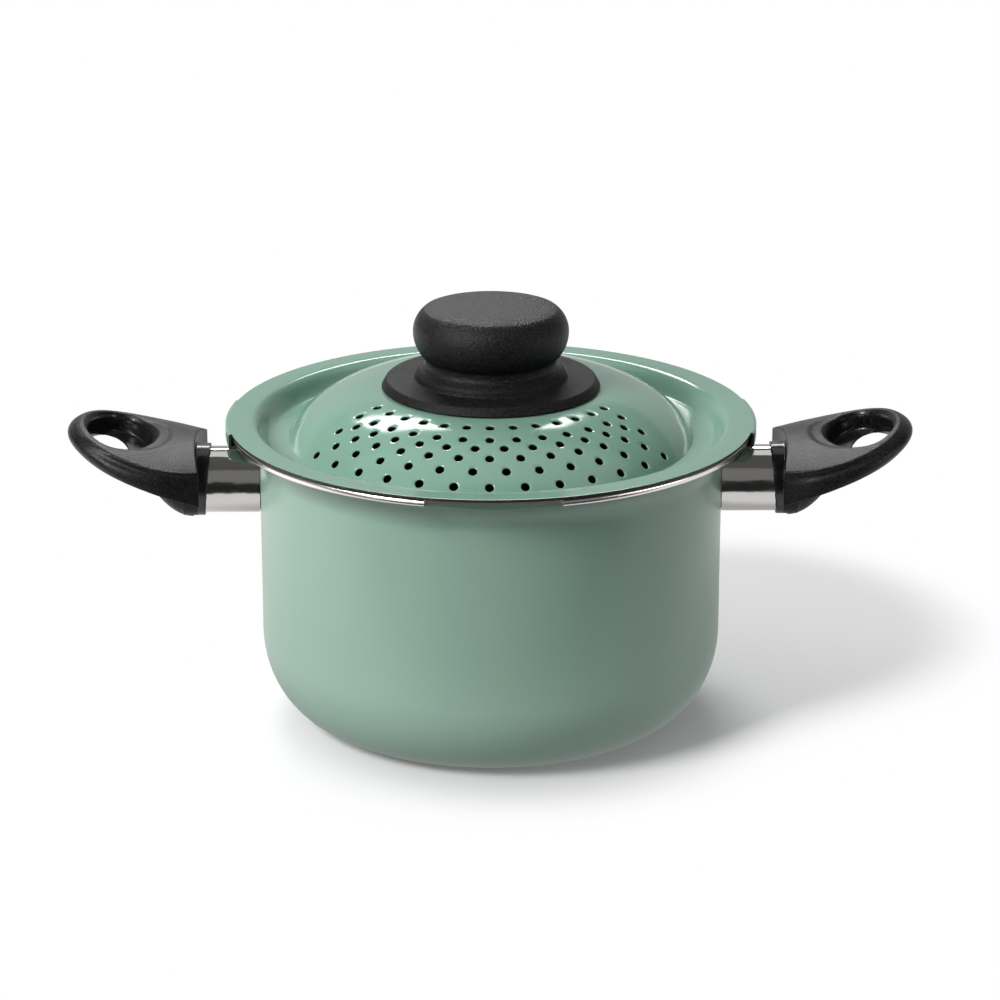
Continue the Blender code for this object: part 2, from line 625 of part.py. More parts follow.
def grip_half_width(along):
    """Half width of the grip's top crease at a distance from the pot's axis."""
    if along < GRIP_WIDE_AT:
        corner = GRIP_START - GRIP_END_SAG
        share = (along - corner) / (GRIP_WIDE_AT - corner)
        return GRIP_END_HALF_WIDTH + (GRIP_HALF_WIDTH - GRIP_END_HALF_WIDTH) * math.sin(math.pi / 2 * share)
    share = min(1, (along - GRIP_WIDE_AT) / (GRIP_TIP - GRIP_WIDE_AT))
    return GRIP_HALF_WIDTH * (1 - share**GRIP_ROUNDNESS) ** (1 / GRIP_ROUNDNESS)


def grip_outline():
    """Top crease of the grip in plan, all the way round."""
    half = []
    for i in range(4):
        across = i / 4
        half.append((GRIP_START - GRIP_END_SAG * across**2, GRIP_END_HALF_WIDTH * across))
    corner = GRIP_START - GRIP_END_SAG
    for i in range(4):
        along = corner + (GRIP_WIDE_AT - corner) * i / 4
        half.append((along, grip_half_width(along)))
    for i in range(8):
        share = math.sin(math.pi / 2 * i / 8) ** (2 / GRIP_ROUNDNESS)
        along = GRIP_WIDE_AT + (GRIP_TIP - GRIP_WIDE_AT) * share
        half.append((along, grip_half_width(along)))
    mirrored = [(along, -across) for along, across in reversed(half[1:])]
    return half + [(GRIP_TIP, 0)] + mirrored


def grip_share(along):
    """Share of the way from the grip's pot end to its tip."""
    start = GRIP_START - GRIP_END_SAG
    return (along - start) / (GRIP_TIP - start)


def crease_height(along):
    """Height of the grip's top crease, a shallow curve that rises to the tip."""
    share = grip_share(along)
    return HANDLE_HEIGHT + CREASE_ROOT + (CREASE_TIP - CREASE_ROOT) * share - 4 * CREASE_SAG * share * (1 - share)


def grip_top(along, across):
    """Height of the grip's crowned top."""
    crown = GRIP_CROWN * (1 - grip_share(along) ** 3)
    half_width = max(grip_half_width(along), abs(across), CLEARANCE)
    return crease_height(along) + crown * (1 - (across / half_width) ** 2)


def grip_bottom(along):
    """Height of the grip's underside."""
    return crease_height(along) - FLANK_DEPTH - FLANK_ROOT_EXTRA * (1 - grip_share(along)) ** 3


def outward_directions(outline):
    """Direction out of a closed outline at each of its points."""
    directions = []
    for i, point in enumerate(outline):
        after = outline[(i + 1) % len(outline)]
        tangent = (Vector(after) - Vector(outline[i - 1])).normalized()
        directions.append(Vector((tangent.y, -tangent.x)))
    if directions[0].x > 0:
        directions = [-direction for direction in directions]
    return directions


def grip_loop_mesh():
    """Solid of the loop before its hole: crowned top, coved and bulging flank."""
    outline = grip_outline()
    outward = outward_directions(outline)
    middle = (GRIP_START + GRIP_TIP) / 2
    rings = []
    for scale in (0.12, 0.5, 0.8, 0.94):
        inner = [(middle + (along - middle) * scale, across * scale) for along, across in outline]
        rings.append([(along, across, grip_top(along, across)) for along, across in inner])
    for fraction, bulge, cove in FLANK_LEVELS:
        ring = []
        for (along, across), direction in zip(outline, outward):
            share = grip_share(along)
            push = FLANK_BULGE * bulge * share**2 - FLANK_COVE * cove * min(1, 5 * share)
            place = Vector((along, across)) + direction * push
            top = grip_top(along, across)
            ring.append((place.x, place.y, top + fraction * (grip_bottom(along) - top)))
        rings.append(ring)
    for scale in (0.7, 0.12):
        inner = [(middle + (along - middle) * scale, across * scale) for along, across in outline]
        rings.append([(along, across, grip_bottom(along)) for along, across in inner])
    return loft_mesh("grip_loop", rings)


def nose_mesh():
    """Oval nose of the grip, whose front face is slanted."""
    ring = oval(GUARD_HALF_WIDTH + CLEARANCE + NOSE_LIP, GUARD_HALF_HEIGHT + CLEARANCE + NOSE_LIP)
    half_height = GUARD_HALF_HEIGHT + CLEARANCE + NOSE_LIP
    front = []
    for across, height in ring:
        share = (height - HANDLE_HEIGHT) / half_height
        start = (NOSE_TOP_START + NOSE_BOTTOM_START) / 2 + share * (NOSE_TOP_START - NOSE_BOTTOM_START) / 2
        front.append((start, across, height))
    back = [(GRIP_START + 2 * GRIP_END_SAG, across, height) for across, height in ring]
    return loft_mesh("grip_nose", [front, back])


def rib_mesh():
    """Rib under the loop that carries the screw, deepest at the pot end."""
    rings = []
    rib_bottom = HANDLE_HEIGHT - RIB_DEPTH
    for share in (0, 0.35, 0.7, 1):
        along = RIB_START + (RIB_END - RIB_START) * share
        half_width = RIB_HALF_WIDTH * (1 - RIB_TAPER * share**2)
        top = (crease_height(along) + grip_bottom(along)) / 2
        bottom = rib_bottom + (grip_bottom(RIB_END) - rib_bottom) * share**2
        ring = [(along, half_width, top)]
        for i in range(9):
            angle = math.pi * i / 8
            up = RIB_ROUNDNESS * (top - bottom) * (1 - math.sin(angle))
            ring.append((along, half_width * math.cos(angle), bottom + up))
        ring.append((along, -half_width, top))
        rings.append(ring)
    return loft_mesh("grip_rib", rings)


def ellipse_ring(centre, half_length, half_width, height, slope, steps=24):
    """Ring of points round an ellipse that slopes up away from the pot."""
    ring = []
    for i in range(steps):
        angle = 2 * math.pi * i / steps
        along = centre + half_length * math.cos(angle)
        ring.append((along, half_width * math.sin(angle), height + slope * (along - FINGER_HOLE_CENTRE)))
    return ring


def finger_hole_mesh():
    """Cutter of the finger hole: rounded rim, upright wall and a ledge round a narrower gap."""
    slope = (CREASE_TIP - CREASE_ROOT) / GRIP_LENGTH
    crease = crease_height(FINGER_HOLE_CENTRE)
    rim = grip_top(FINGER_HOLE_CENTRE, FINGER_HOLE_HALF_WIDTH)
    rings = []
    for level, grow in FINGER_HOLE_RIM:
        length = FINGER_HOLE_HALF_LENGTH + grow
        width = FINGER_HOLE_HALF_WIDTH + grow
        rings.append(ellipse_ring(FINGER_HOLE_CENTRE, length, width, rim + level, slope))
    wall_end = crease - FINGER_HOLE_WALL
    rings.append(
        ellipse_ring(FINGER_HOLE_CENTRE, FINGER_HOLE_HALF_LENGTH, FINGER_HOLE_HALF_WIDTH, wall_end, slope)
    )
    for height in (crease - FINGER_GAP_DEPTH, HANDLE_HEIGHT - RIB_DEPTH):
        rings.append(
            ellipse_ring(FINGER_GAP_CENTRE, FINGER_GAP_HALF_LENGTH, FINGER_GAP_HALF_WIDTH, height, slope)
        )
    return loft_mesh("finger_hole", rings)


def make_grips():
    """Moulded loop grips with a nose, a rib, a finger hole and the screw's way through."""
    grip = add_cutter("grip_blank", grip_loop_mesh())
    boolean(grip, add_cutter("grip_nose", nose_mesh()), "UNION")
    boolean(grip, add_cutter("grip_rib", rib_mesh()), "UNION")
    boolean(grip, add_cutter("finger_hole", finger_hole_mesh()), "DIFFERENCE")
    socket_ring = oval(GUARD_HALF_WIDTH + CLEARANCE, GUARD_HALF_HEIGHT + CLEARANCE)
    socket_ends = (NOSE_TOP_START - WALL, GUARD_END + CLEARANCE)
    socket = loft_mesh("guard_socket", [[(end, *point) for point in socket_ring] for end in socket_ends])
    tunnel_radius = GRIP_SCREW_RADIUS + CLEARANCE
    counterbore_radius = GRIP_WASHER_RADIUS + CLEARANCE
    tunnel = x_cylinder("screw_tunnel", tunnel_radius, NOSE_TOP_START, RIB_END, HANDLE_HEIGHT)
    counterbore = x_cylinder("counterbore", counterbore_radius, GRIP_SCREW_SEAT, RIB_END + WALL, HANDLE_HEIGHT)
    boolean(grip, add_cutter("guard_socket", socket), "DIFFERENCE")
    boolean(grip, add_cutter("screw_tunnel", tunnel), "DIFFERENCE")
    boolean(grip, add_cutter("counterbore", counterbore), "DIFFERENCE")
    apply_modifiers(grip)
    place_pair("grip", grip.data, bakelite)
    bpy.data.objects.remove(grip)


def along_x(mesh, start):
    """Lay a turned piece along the handle's axis, from its lower end at a distance."""
    mesh.transform(Matrix.Rotation(math.pi / 2, 4, "Y"))
    mesh.transform(Matrix.Translation((start, 0, HANDLE_HEIGHT)))
    return mesh


def make_grip_fixings():
    """Long screw and washer of each grip."""
    washer_top = WASHER_THICKNESS
    bore = GRIP_SCREW_RADIUS + CLEARANCE
    washer = [(bore, washer_top), (GRIP_WASHER_RADIUS, washer_top), (GRIP_WASHER_RADIUS, 0)]
    washer += [(bore, 0), (bore, washer_top)]
    washer_start = GRIP_SCREW_SEAT + CLEARANCE
    washer_mesh = turned_mesh("grip_washer", washer, SCREW_STEPS)
    place_pair("grip_washer", along_x(washer_mesh, washer_start), steel)
    shank = washer_start + WASHER_THICKNESS + CLEARANCE - GRIP_SCREW_TIP
    top = shank + GRIP_SCREW_HEAD_HEIGHT
    screw = [(0, top), (GRIP_SCREW_HEAD_RADIUS - SCREW_HEAD_BEVEL, top)]
    screw += [(GRIP_SCREW_HEAD_RADIUS, top - SCREW_HEAD_BEVEL)]
    screw += [(GRIP_SCREW_HEAD_RADIUS, shank), (GRIP_SCREW_RADIUS, shank), (GRIP_SCREW_RADIUS, 0), (0, 0)]
    screw_mesh = turned_mesh("grip_screw", screw, SCREW_STEPS)
    place_pair("grip_screw", along_x(screw_mesh, GRIP_SCREW_TIP), steel)


clear_scene()
pot = new_collection("pasta_pot")
cutters = new_collection("cutters")
enamel = make_material("sage_enamel", (140, 170, 152), 0, 0.35)
lid_enamel = make_material("lid_sage_enamel", (140, 170, 152), 0, 0.3)
bakelite = make_material("black_bakelite", (28, 27, 27), 0, 0.45)
stainless = make_material("stainless_guard", (205, 205, 203), 1, 0.15)
steel = make_material("plated_steel", (180, 180, 182), 1, 0.3)
brass = make_material("brass_insert", (200, 160, 90), 1, 0.3)

make_pot_body()
make_lid_shell()
make_knob()
make_knob_fixing()
pot_outside = make_wall_cutter()
make_guards(pot_outside)
make_studs(pot_outside)
make_grips()
make_grip_fixings()
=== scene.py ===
# %% [markdown]
# # Pasta pot with a strainer lid
# A deep aluminium pot with a sage green coat stands closed on a white table. Its lid is pierced at the
# front, so that the pasta water can be poured off, and it locks with a quarter turn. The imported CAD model
# is the frame: the sizes here are the ones that it was made with. The pieces that show are built again
# with finer, rounder meshes, and each gets the material of the real one.

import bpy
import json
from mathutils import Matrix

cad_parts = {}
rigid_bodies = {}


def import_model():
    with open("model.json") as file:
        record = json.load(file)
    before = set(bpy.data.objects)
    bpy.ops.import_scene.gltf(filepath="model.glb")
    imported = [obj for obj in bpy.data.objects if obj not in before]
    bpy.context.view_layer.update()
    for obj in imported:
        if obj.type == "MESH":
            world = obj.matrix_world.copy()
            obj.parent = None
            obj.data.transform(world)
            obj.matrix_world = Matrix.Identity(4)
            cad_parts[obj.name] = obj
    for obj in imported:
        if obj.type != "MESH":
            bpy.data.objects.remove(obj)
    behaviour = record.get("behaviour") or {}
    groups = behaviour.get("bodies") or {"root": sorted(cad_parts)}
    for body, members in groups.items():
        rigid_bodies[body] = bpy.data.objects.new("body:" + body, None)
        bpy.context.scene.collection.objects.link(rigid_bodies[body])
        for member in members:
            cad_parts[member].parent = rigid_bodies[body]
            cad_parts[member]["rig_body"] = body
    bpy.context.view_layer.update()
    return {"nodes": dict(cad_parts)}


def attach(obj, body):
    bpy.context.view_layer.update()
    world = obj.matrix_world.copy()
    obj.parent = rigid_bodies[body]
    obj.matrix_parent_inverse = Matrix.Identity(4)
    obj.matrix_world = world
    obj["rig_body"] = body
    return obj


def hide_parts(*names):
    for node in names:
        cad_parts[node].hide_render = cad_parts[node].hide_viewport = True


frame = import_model()

# %% Tools and plain settings
import json
import math

import bmesh
import bpy
from mathutils import Matrix, Vector

scene = bpy.context.scene
scene.view_settings.view_transform = "Standard"
print("Blender", bpy.app.version_string)

# %% [markdown]
# ## The camera
# The photograph looks down on the pot a little, from far away with a long lens, as catalogue pictures do.
# A lens of 130 mm keeps the rim's ellipse flat. The picture's middle isn't quite on the pot, and a small
# lens shift gives that without turning the camera away.

# %% Place the camera
CAMERA_DISTANCE = 1.6157
CAMERA_TILT = math.radians(18.714)
CAMERA_TURN = math.radians(1.109)
CAMERA_ROLL = 0.003
LOOK_HEIGHT = 0.0972
LOOK_ASIDE = 0.01368

lens = bpy.data.cameras.new("catalogue_lens")
lens.lens = 129.66
lens.sensor_width = 36
lens.shift_x = -0.02145
lens.shift_y = 0.0005
lens.clip_start = 0.05
camera = bpy.data.objects.new("camera", lens)
scene.collection.objects.link(camera)
scene.camera = camera
level_place = Vector((LOOK_ASIDE, -CAMERA_DISTANCE * math.cos(CAMERA_TILT), 0))
level_place.z = LOOK_HEIGHT + CAMERA_DISTANCE * math.sin(CAMERA_TILT)
around = Matrix.Rotation(-CAMERA_TURN, 4, "Z")
look_down = Matrix.Rotation(math.pi / 2 - CAMERA_TILT, 4, "X")
roll = Matrix.Rotation(CAMERA_ROLL, 4, "Z")
camera.matrix_world = around @ Matrix.Translation(level_place) @ look_down @ roll
print("camera at", [round(value, 3) for value in camera.location])

# %% [markdown]
# ## Colours and nodes
# Colours are written as hex codes, as a picture editor shows them. Blender's shaders count light, so each
# code is turned to linear values first. One helper adds any node with its settings and links, which keeps
# every material short enough to read.

# %% Helpers for colours and nodes
def colour(code):
    """Turn a hex colour such as 8caa9b into linear red, green, blue and alpha."""
    channels = [int(code[i:i + 2], 16) / 255 for i in (0, 2, 4)]
    lit = [value / 12.92 if value <= 0.04045 else ((value + 0.055) / 1.055) ** 2.4 for value in channels]
    return (*lit, 1.0)


def add_node(tree, kind, settings=None, values=None, links=None):
    """Add a node, set its settings and socket values, and link sockets of other nodes into it."""
    node = tree.nodes.new(kind)
    for name, value in (settings or {}).items():
        setattr(node, name, value)
    for name, value in (values or {}).items():
        node.inputs[name].default_value = value
    for name, socket in (links or {}).items():
        tree.links.new(socket, node.inputs[name])
    return node


def new_material(name, **values):
    """Make a material and set values on its Principled shader by socket name."""
    material = bpy.data.materials.new(name)
    material.use_nodes = True
    shader = material.node_tree.nodes["Principled BSDF"]
    for socket, value in values.items():
        shader.inputs[socket.replace("_", " ")].default_value = value
    return material, material.node_tree, shader


print("sage green in linear light:", [round(value, 3) for value in colour("8aaa9b")])

# %% [markdown]
# ## The sage enamel
# The pot and lid are aluminium with a baked silicone enamel, sprayed on and fired. It is a smooth coat a
# few hundredths of a millimetre thick, with the faint ripple of sprayed paint, which painters call orange
# peel. A Principled shader with a plain IOR gives the gloss. Noise at 2 to 3 mm makes the ripple, and a
# wide, weak noise varies the coat's gloss, as on every real one. The lid is glossier than the pot, and its
# enamel is drawn darker and greener than the pot's, as painted shade.

# %% Make the two enamels
def enamel(name, low, high, roughness):
    """Sprayed and fired enamel with a faint orange peel, whose tone drifts between two colours."""
    material, tree, shader = new_material(name, IOR=1.5)
    place = add_node(tree, "ShaderNodeTexCoord").outputs["Object"]
    cloud = add_node(tree, "ShaderNodeTexNoise", values={"Scale": 18, "Detail": 2}, links={"Vector": place})
    # a Mix node's sockets for two colours are the seventh and eighth
    tones = {6: colour(low), 7: colour(high)}
    tint = add_node(tree, "ShaderNodeMix", {"data_type": "RGBA"}, tones, {0: cloud.outputs["Fac"]})
    tree.links.new(tint.outputs[2], shader.inputs["Base Color"])
    gloss = add_node(
        tree,
        "ShaderNodeMapRange",
        values={"To Min": roughness - 0.01, "To Max": roughness + 0.01},
        links={"Value": cloud.outputs["Fac"]},
    )
    tree.links.new(gloss.outputs["Result"], shader.inputs["Roughness"])
    peel = add_node(tree, "ShaderNodeTexNoise", values={"Scale": 420, "Detail": 1}, links={"Vector": place})
    ripple = add_node(
        tree,
        "ShaderNodeBump",
        values={"Strength": 0.3, "Distance": 0.00002},
        links={"Height": peel.outputs["Fac"]},
    )
    tree.links.new(ripple.outputs["Normal"], shader.inputs["Normal"])
    return material


pot_enamel = enamel("sage_enamel_pot", "86a394", "88a596", 0.3)
# the lid has the pot's coat, drawn darker and greener as painted shade
lid_enamel = enamel("sage_enamel_lid", "709383", "729585", 0.14)
print("enamels:", pot_enamel.name, lid_enamel.name)

# %% [markdown]
# ## Bare aluminium and the lining
# The trimmed lip and the turned base are bare aluminium with the fine rings of a lathe tool. A Wave
# texture draws them half a millimetre apart on the lip and nearly a millimetre on the base, a little
# wider than real, so that they show. The inside has a sprayed non-stick lining, whose mineral filler
# shows as light specks of about half a millimetre.

# %% Make the bare aluminium of the lip and the base
def bare_aluminium(name, roughness, groove_scale, groove_depth):
    """Aluminium with the fine rings that a lathe tool leaves."""
    finish = {"Base_Color": colour("efe8ea"), "Metallic": 1.0, "Roughness": roughness}
    material, tree, shader = new_material(name, **finish)
    place = add_node(tree, "ShaderNodeTexCoord").outputs["Object"]
    flat = add_node(tree, "ShaderNodeMapping", values={"Scale": (1, 1, 0)}, links={"Vector": place})
    rings = add_node(
        tree,
        "ShaderNodeTexWave",
        {"wave_type": "RINGS", "rings_direction": "Z", "wave_profile": "SIN"},
        {"Scale": groove_scale, "Distortion": 0.4, "Detail": 1},
        {"Vector": flat.outputs["Vector"]},
    )
    bump = add_node(
        tree,
        "ShaderNodeBump",
        values={"Strength": 0.5, "Distance": groove_depth},
        links={"Height": rings.outputs["Fac"]},
    )
    tree.links.new(bump.outputs["Normal"], shader.inputs["Normal"])
    return material


lip_metal = bare_aluminium("trimmed_aluminium", 0.27, 600, 0.000005)
base_metal = bare_aluminium("turned_aluminium_base", 0.3, 350, 0.00003)
print("bare metals:", lip_metal.name, base_metal.name)

# %% Make the non-stick lining
def non_stick():
    """Dark sprayed non-stick lining with the fine light specks of its mineral filler."""
    material, tree, shader = new_material("non_stick_lining", Roughness=0.42, IOR=1.4)
    place = add_node(tree, "ShaderNodeTexCoord").outputs["Object"]
    filler = {"Scale": 1500, "Detail": 1}
    specks = add_node(tree, "ShaderNodeTexNoise", values=filler, links={"Vector": place})
    ramp = add_node(tree, "ShaderNodeValToRGB", links={"Fac": specks.outputs["Fac"]})
    ramp.color_ramp.elements[0].position = 0.62
    ramp.color_ramp.elements[0].color = colour("232323")
    ramp.color_ramp.elements[1].position = 0.75
    ramp.color_ramp.elements[1].color = colour("5a5a58")
    tree.links.new(ramp.outputs["Color"], shader.inputs["Base Color"])
    return material


lining = non_stick()
print("lining:", lining.name)

# %% [markdown]
# ## The black bakelite
# Knob and grips are bakelite, pressed hot in a steel mould whose walls were spark eroded. That leaves a
# fine, even grit of about half a millimetre, which breaks every highlight into a soft grey sheen. The
# knob's mould is coarser, so the knob is duller. Its foot gets a still duller copy, which is painted shade
# for the foot under the head. The collar round the guard and the wall of the finger hole are polished in
# the mould, so they stay glossy.

# %% Make the four bakelites
def bakelite(name, ior, roughness, grit_height):
    """Moulded black bakelite with the grit of a spark-eroded mould."""
    material, tree, shader = new_material(name, Roughness=roughness, IOR=ior)
    place = add_node(tree, "ShaderNodeTexCoord").outputs["Object"]
    grains = {"Scale": 1700, "Detail": 1}
    grit = add_node(tree, "ShaderNodeTexNoise", values=grains, links={"Vector": place})
    tone = add_node(tree, "ShaderNodeValToRGB", links={"Fac": grit.outputs["Fac"]})
    tone.color_ramp.elements[0].position = 0.42
    tone.color_ramp.elements[0].color = colour("020202")
    tone.color_ramp.elements[1].position = 0.75
    tone.color_ramp.elements[1].color = colour("282727")
    tree.links.new(tone.outputs["Color"], shader.inputs["Base Color"])
    bump = add_node(
        tree,
        "ShaderNodeBump",
        values={"Strength": 1.0, "Distance": grit_height},
        links={"Height": grit.outputs["Fac"]},
    )
    tree.links.new(bump.outputs["Normal"], shader.inputs["Normal"])
    return material


sparked_bakelite = bakelite("sparked_bakelite", 1.31, 0.38, 0.00018)
coarse_bakelite = bakelite("coarse_bakelite", 1.29, 0.42, 0.00036)
# a still duller copy for the knob's foot, as painted shade under the head
painted_shade_bakelite = bakelite("painted_shade_bakelite", 1.26, 0.55, 0.0003)
glossy_bakelite = bakelite("polished_bakelite", 1.6, 0.22, 0.00001)
print("bakelites:", [material.name for material in bpy.data.materials if "bakelite" in material.name])

# %% [markdown]
# ## Stainless, zinc and brass
# The flame guards are thin polished stainless sheet. The screws, washers and studs are steel with bright
# zinc, and the insert in the knob is turned brass. Metals keep Blender's default IOR, because their
# colour sets how they reflect.

# %% Make the metals
def plain_metal(name, code, roughness, noise_scale, height, wave=0.0):
    """Metal with a slightly uneven gloss, whose long wave, on thin sheet, bends what it mirrors."""
    material, tree, shader = new_material(name, Base_Color=colour(code), Metallic=1.0)
    place = add_node(tree, "ShaderNodeTexCoord").outputs["Object"]
    fine = {"Scale": noise_scale, "Detail": 3}
    grain = add_node(tree, "ShaderNodeTexNoise", values=fine, links={"Vector": place})
    gloss = add_node(
        tree,
        "ShaderNodeMapRange",
        values={"To Min": 0.7 * roughness, "To Max": 1.3 * roughness},
        links={"Value": grain.outputs["Fac"]},
    )
    tree.links.new(gloss.outputs["Result"], shader.inputs["Roughness"])
    bump = add_node(
        tree,
        "ShaderNodeBump",
        values={"Strength": 0.4, "Distance": height},
        links={"Height": grain.outputs["Fac"]},
    )
    swell = add_node(tree, "ShaderNodeTexNoise", values={"Scale": 70, "Detail": 2}, links={"Vector": place})
    bent = add_node(
        tree,
        "ShaderNodeBump",
        values={"Strength": 1.0, "Distance": wave},
        links={"Height": swell.outputs["Fac"], "Normal": bump.outputs["Normal"]},
    )
    tree.links.new(bent.outputs["Normal"], shader.inputs["Normal"])
    return material


stainless = plain_metal("polished_stainless", "d2d0cd", 0.11, 700, 0.00001, 0.0003)
zinc = plain_metal("bright_zinc", "b9bcc0", 0.28, 1200, 0.00002)
brass = plain_metal("turned_brass", "c9a25c", 0.25, 900, 0.00002)
print("metals:", stainless.name, zinc.name, brass.name)

# %% [markdown]
# ## The forms that all pieces share
# Round pieces are turned: a chain of points of radius and height is spun round the upright axis. Two
# helpers give the points of an elliptical arc and of a Bezier curve, and one spins the chain. The last
# helper makes an object stand for its CAD node and ride on the same body. Guards and grips are built at
# the right, and a copy turned by half a turn is the left one.

# %% Helpers for shapes
def arc(centre, radii, start, end, steps=12):
    """Points of an elliptical arc, from one angle to another in degrees."""
    angles = [math.radians(start + (end - start) * i / steps) for i in range(steps + 1)]
    return [(centre[0] + radii[0] * math.cos(a), centre[1] + radii[1] * math.sin(a)) for a in angles]


def bezier(controls, steps=12):
    """Points of a Bezier curve through its first and last control."""
    points = []
    for i in range(steps + 1):
        row = [Vector(control) for control in controls]
        while len(row) > 1:
            row = [a.lerp(b, i / steps) for a, b in zip(row, row[1:])]
        points.append(tuple(row[0]))
    return points


def spin_shape(points, steps):
    """Spin a chain of points of radius and height once round the upright axis."""
    bm = bmesh.new()
    kept = [points[0]] + [b for a, b in zip(points, points[1:]) if math.dist(a, b) > 1e-6]
    chain = [bm.verts.new((radius, 0, height)) for radius, height in kept]
    edges = [bm.edges.new(pair) for pair in zip(chain, chain[1:])]
    bmesh.ops.spin(bm, geom=chain + edges, axis=(0, 0, 1), angle=2 * math.pi, steps=steps, use_merge=True)
    bmesh.ops.remove_doubles(bm, verts=bm.verts, dist=1e-6)
    bmesh.ops.recalc_face_normals(bm, faces=bm.faces)
    return bm


def ring_edges(bm, radius, height, reach=0.0002):
    """Edges that run round the axis at a radius and a height."""
    found = []
    for edge in bm.edges:
        ends = [(math.hypot(v.co.x, v.co.y), v.co.z) for v in edge.verts]
        if all(abs(r - radius) < reach and abs(z - height) < reach for r, z in ends):
            found.append(edge)
    return found


def round_edges(bm, edges, width, segments=3):
    """Round edges with a bevel."""
    bmesh.ops.bevel(
        bm, geom=edges, offset=width, offset_type="OFFSET", segments=segments,
        profile=0.5, affect="EDGES", material=-1, clamp_overlap=True,
    )


def loose_object(name, bm):
    """Put a bmesh in the scene as a plain object."""
    mesh = bpy.data.meshes.new(name)
    bm.to_mesh(mesh)
    bm.free()
    piece = bpy.data.objects.new(name, mesh)
    scene.collection.objects.link(piece)
    return piece


def cut(piece, tool, operation="DIFFERENCE"):
    """Cut a piece with a tool, or join the tool to it."""
    modifier = piece.modifiers.new(tool.name, "BOOLEAN")
    modifier.operation = operation
    modifier.solver = "EXACT"
    modifier.object = tool


def settle(piece, tools=()):
    """Give a piece the mesh that its modifiers make, and clear its tools away."""
    seen = piece.evaluated_get(bpy.context.evaluated_depsgraph_get())
    mesh = bpy.data.meshes.new_from_object(seen)
    piece.modifiers.clear()
    piece.data = mesh
    for tool in tools:
        bpy.data.objects.remove(tool)


def other_side(piece, name):
    """Copy a piece to the pot's other side, half a turn round the upright axis."""
    twin = bpy.data.objects.new(name, piece.data.copy())
    twin.data.transform(Matrix.Rotation(math.pi, 4, "Z"))
    scene.collection.objects.link(twin)
    return twin


def finish_piece(piece, node, materials, sharp=40):
    """Shade a piece, give it its materials, and let it stand for a CAD node on that node's body."""
    mesh = piece.data
    mesh.shade_smooth()
    mesh.set_sharp_from_angle(angle=math.radians(sharp))
    places = [face.material_index for face in mesh.polygons]
    mesh.materials.clear()
    for material in materials:
        mesh.materials.append(material)
    mesh.polygons.foreach_set("material_index", [min(i, len(materials) - 1) for i in places])
    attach(piece, frame["nodes"][node]["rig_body"])
    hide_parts(node)
    mesh.calc_loop_triangles()
    print(f"{piece.name}: {len(mesh.loop_triangles)} triangles")


# %% [markdown]
# ## The pot
# The pot is one drawn aluminium shell. Below the lid its neck flares out to a bare, trimmed lip. The coat
# ends below that lip, and the inside has a dark non-stick lining. The whole shell is one spin of its
# section, and a bevel rounds the lip's edges. The two places where the lid's lock tabs go in are cut out
# of the lip afterwards.

# %% Sizes of the pot
# all sizes are in metres, and heights count from the table
SHEET_GAP = 0.0003
INNER_RADIUS = 0.100
WALL = 0.003
OUTER_RADIUS = INNER_RADIUS + WALL
LIP_RADIUS = 0.116
LIP_HEIGHT = 0.1353
LIP_THICKNESS = 0.003
LIP_LAND = 0.004
LIP_ROUNDING = 0.0012
NECK_FLARE = 0.013
NECK_RISE = 0.0146
INNER_NECK_RISE = 0.016
CORNER_RUN = 0.031
CORNER_RISE = 0.0392
BASE_THICKNESS = 0.004
BASE_EDGE_RADIUS = 0.0705
BASE_RECESS = 0.0005
BASE_RECESS_RADIUS = 0.062
BASE_RECESS_SLOPE = 0.001
TAB_HALF_ANGLE = math.radians(12.5)
SKIRT_RADIUS = 0.118
HOOK_RADIUS = 0.1126
NOTCH_LINE = 0.1091
NOTCH_HALF_WIDTH = 0.029
NOTCH_DEPTH = 0.01
COAT_TOP = 0.1326
COAT_MARGIN = 0.0002
print("outside of the pot's wall at", round(1000 * OUTER_RADIUS, 1), "mm from its axis")

# %% Spin the pot
corner = (OUTER_RADIUS - CORNER_RUN, CORNER_RISE)
inner_flare = NECK_FLARE + WALL - LIP_LAND
section = [(0, BASE_THICKNESS)]
section += arc(corner, (CORNER_RUN - WALL, CORNER_RISE - BASE_THICKNESS), -90, 0, 16)
inner_neck = (INNER_RADIUS + inner_flare, LIP_HEIGHT - INNER_NECK_RISE)
section += arc(inner_neck, (-inner_flare, INNER_NECK_RISE), 0, 90, 14)
section += [(LIP_RADIUS, LIP_HEIGHT)]
section += arc((LIP_RADIUS, LIP_HEIGHT - LIP_THICKNESS - NECK_RISE), (-NECK_FLARE, NECK_RISE), 90, 0, 18)
section += arc(corner, (CORNER_RUN, CORNER_RISE), 0, -90, 18)
section += [(BASE_EDGE_RADIUS, 0), (BASE_RECESS_RADIUS, 0)]
section += [(BASE_RECESS_RADIUS - BASE_RECESS_SLOPE, BASE_RECESS), (0, BASE_RECESS)]
shell = spin_shape(section, 192)
for height in (LIP_HEIGHT, LIP_HEIGHT - LIP_THICKNESS):
    round_edges(shell, ring_edges(shell, LIP_RADIUS, height), LIP_ROUNDING, 5)

COAT, BARE, BASE, LINING = range(4)
for face in shell.faces:
    middle = face.calc_center_median()
    radius = middle.to_2d().length
    if middle.z > LIP_HEIGHT - LIP_THICKNESS + COAT_MARGIN and radius > LIP_RADIUS - LIP_LAND:
        face.material_index = BARE
    elif middle.z < 2 * BASE_RECESS and radius < BASE_EDGE_RADIUS:
        face.material_index = BASE
    elif face.normal.z > 0.9 or face.normal.x * middle.x + face.normal.y * middle.y < 0:
        face.material_index = LINING
pot = loose_object("pot_shell", shell)
print("pot faces:", len(pot.data.polygons))

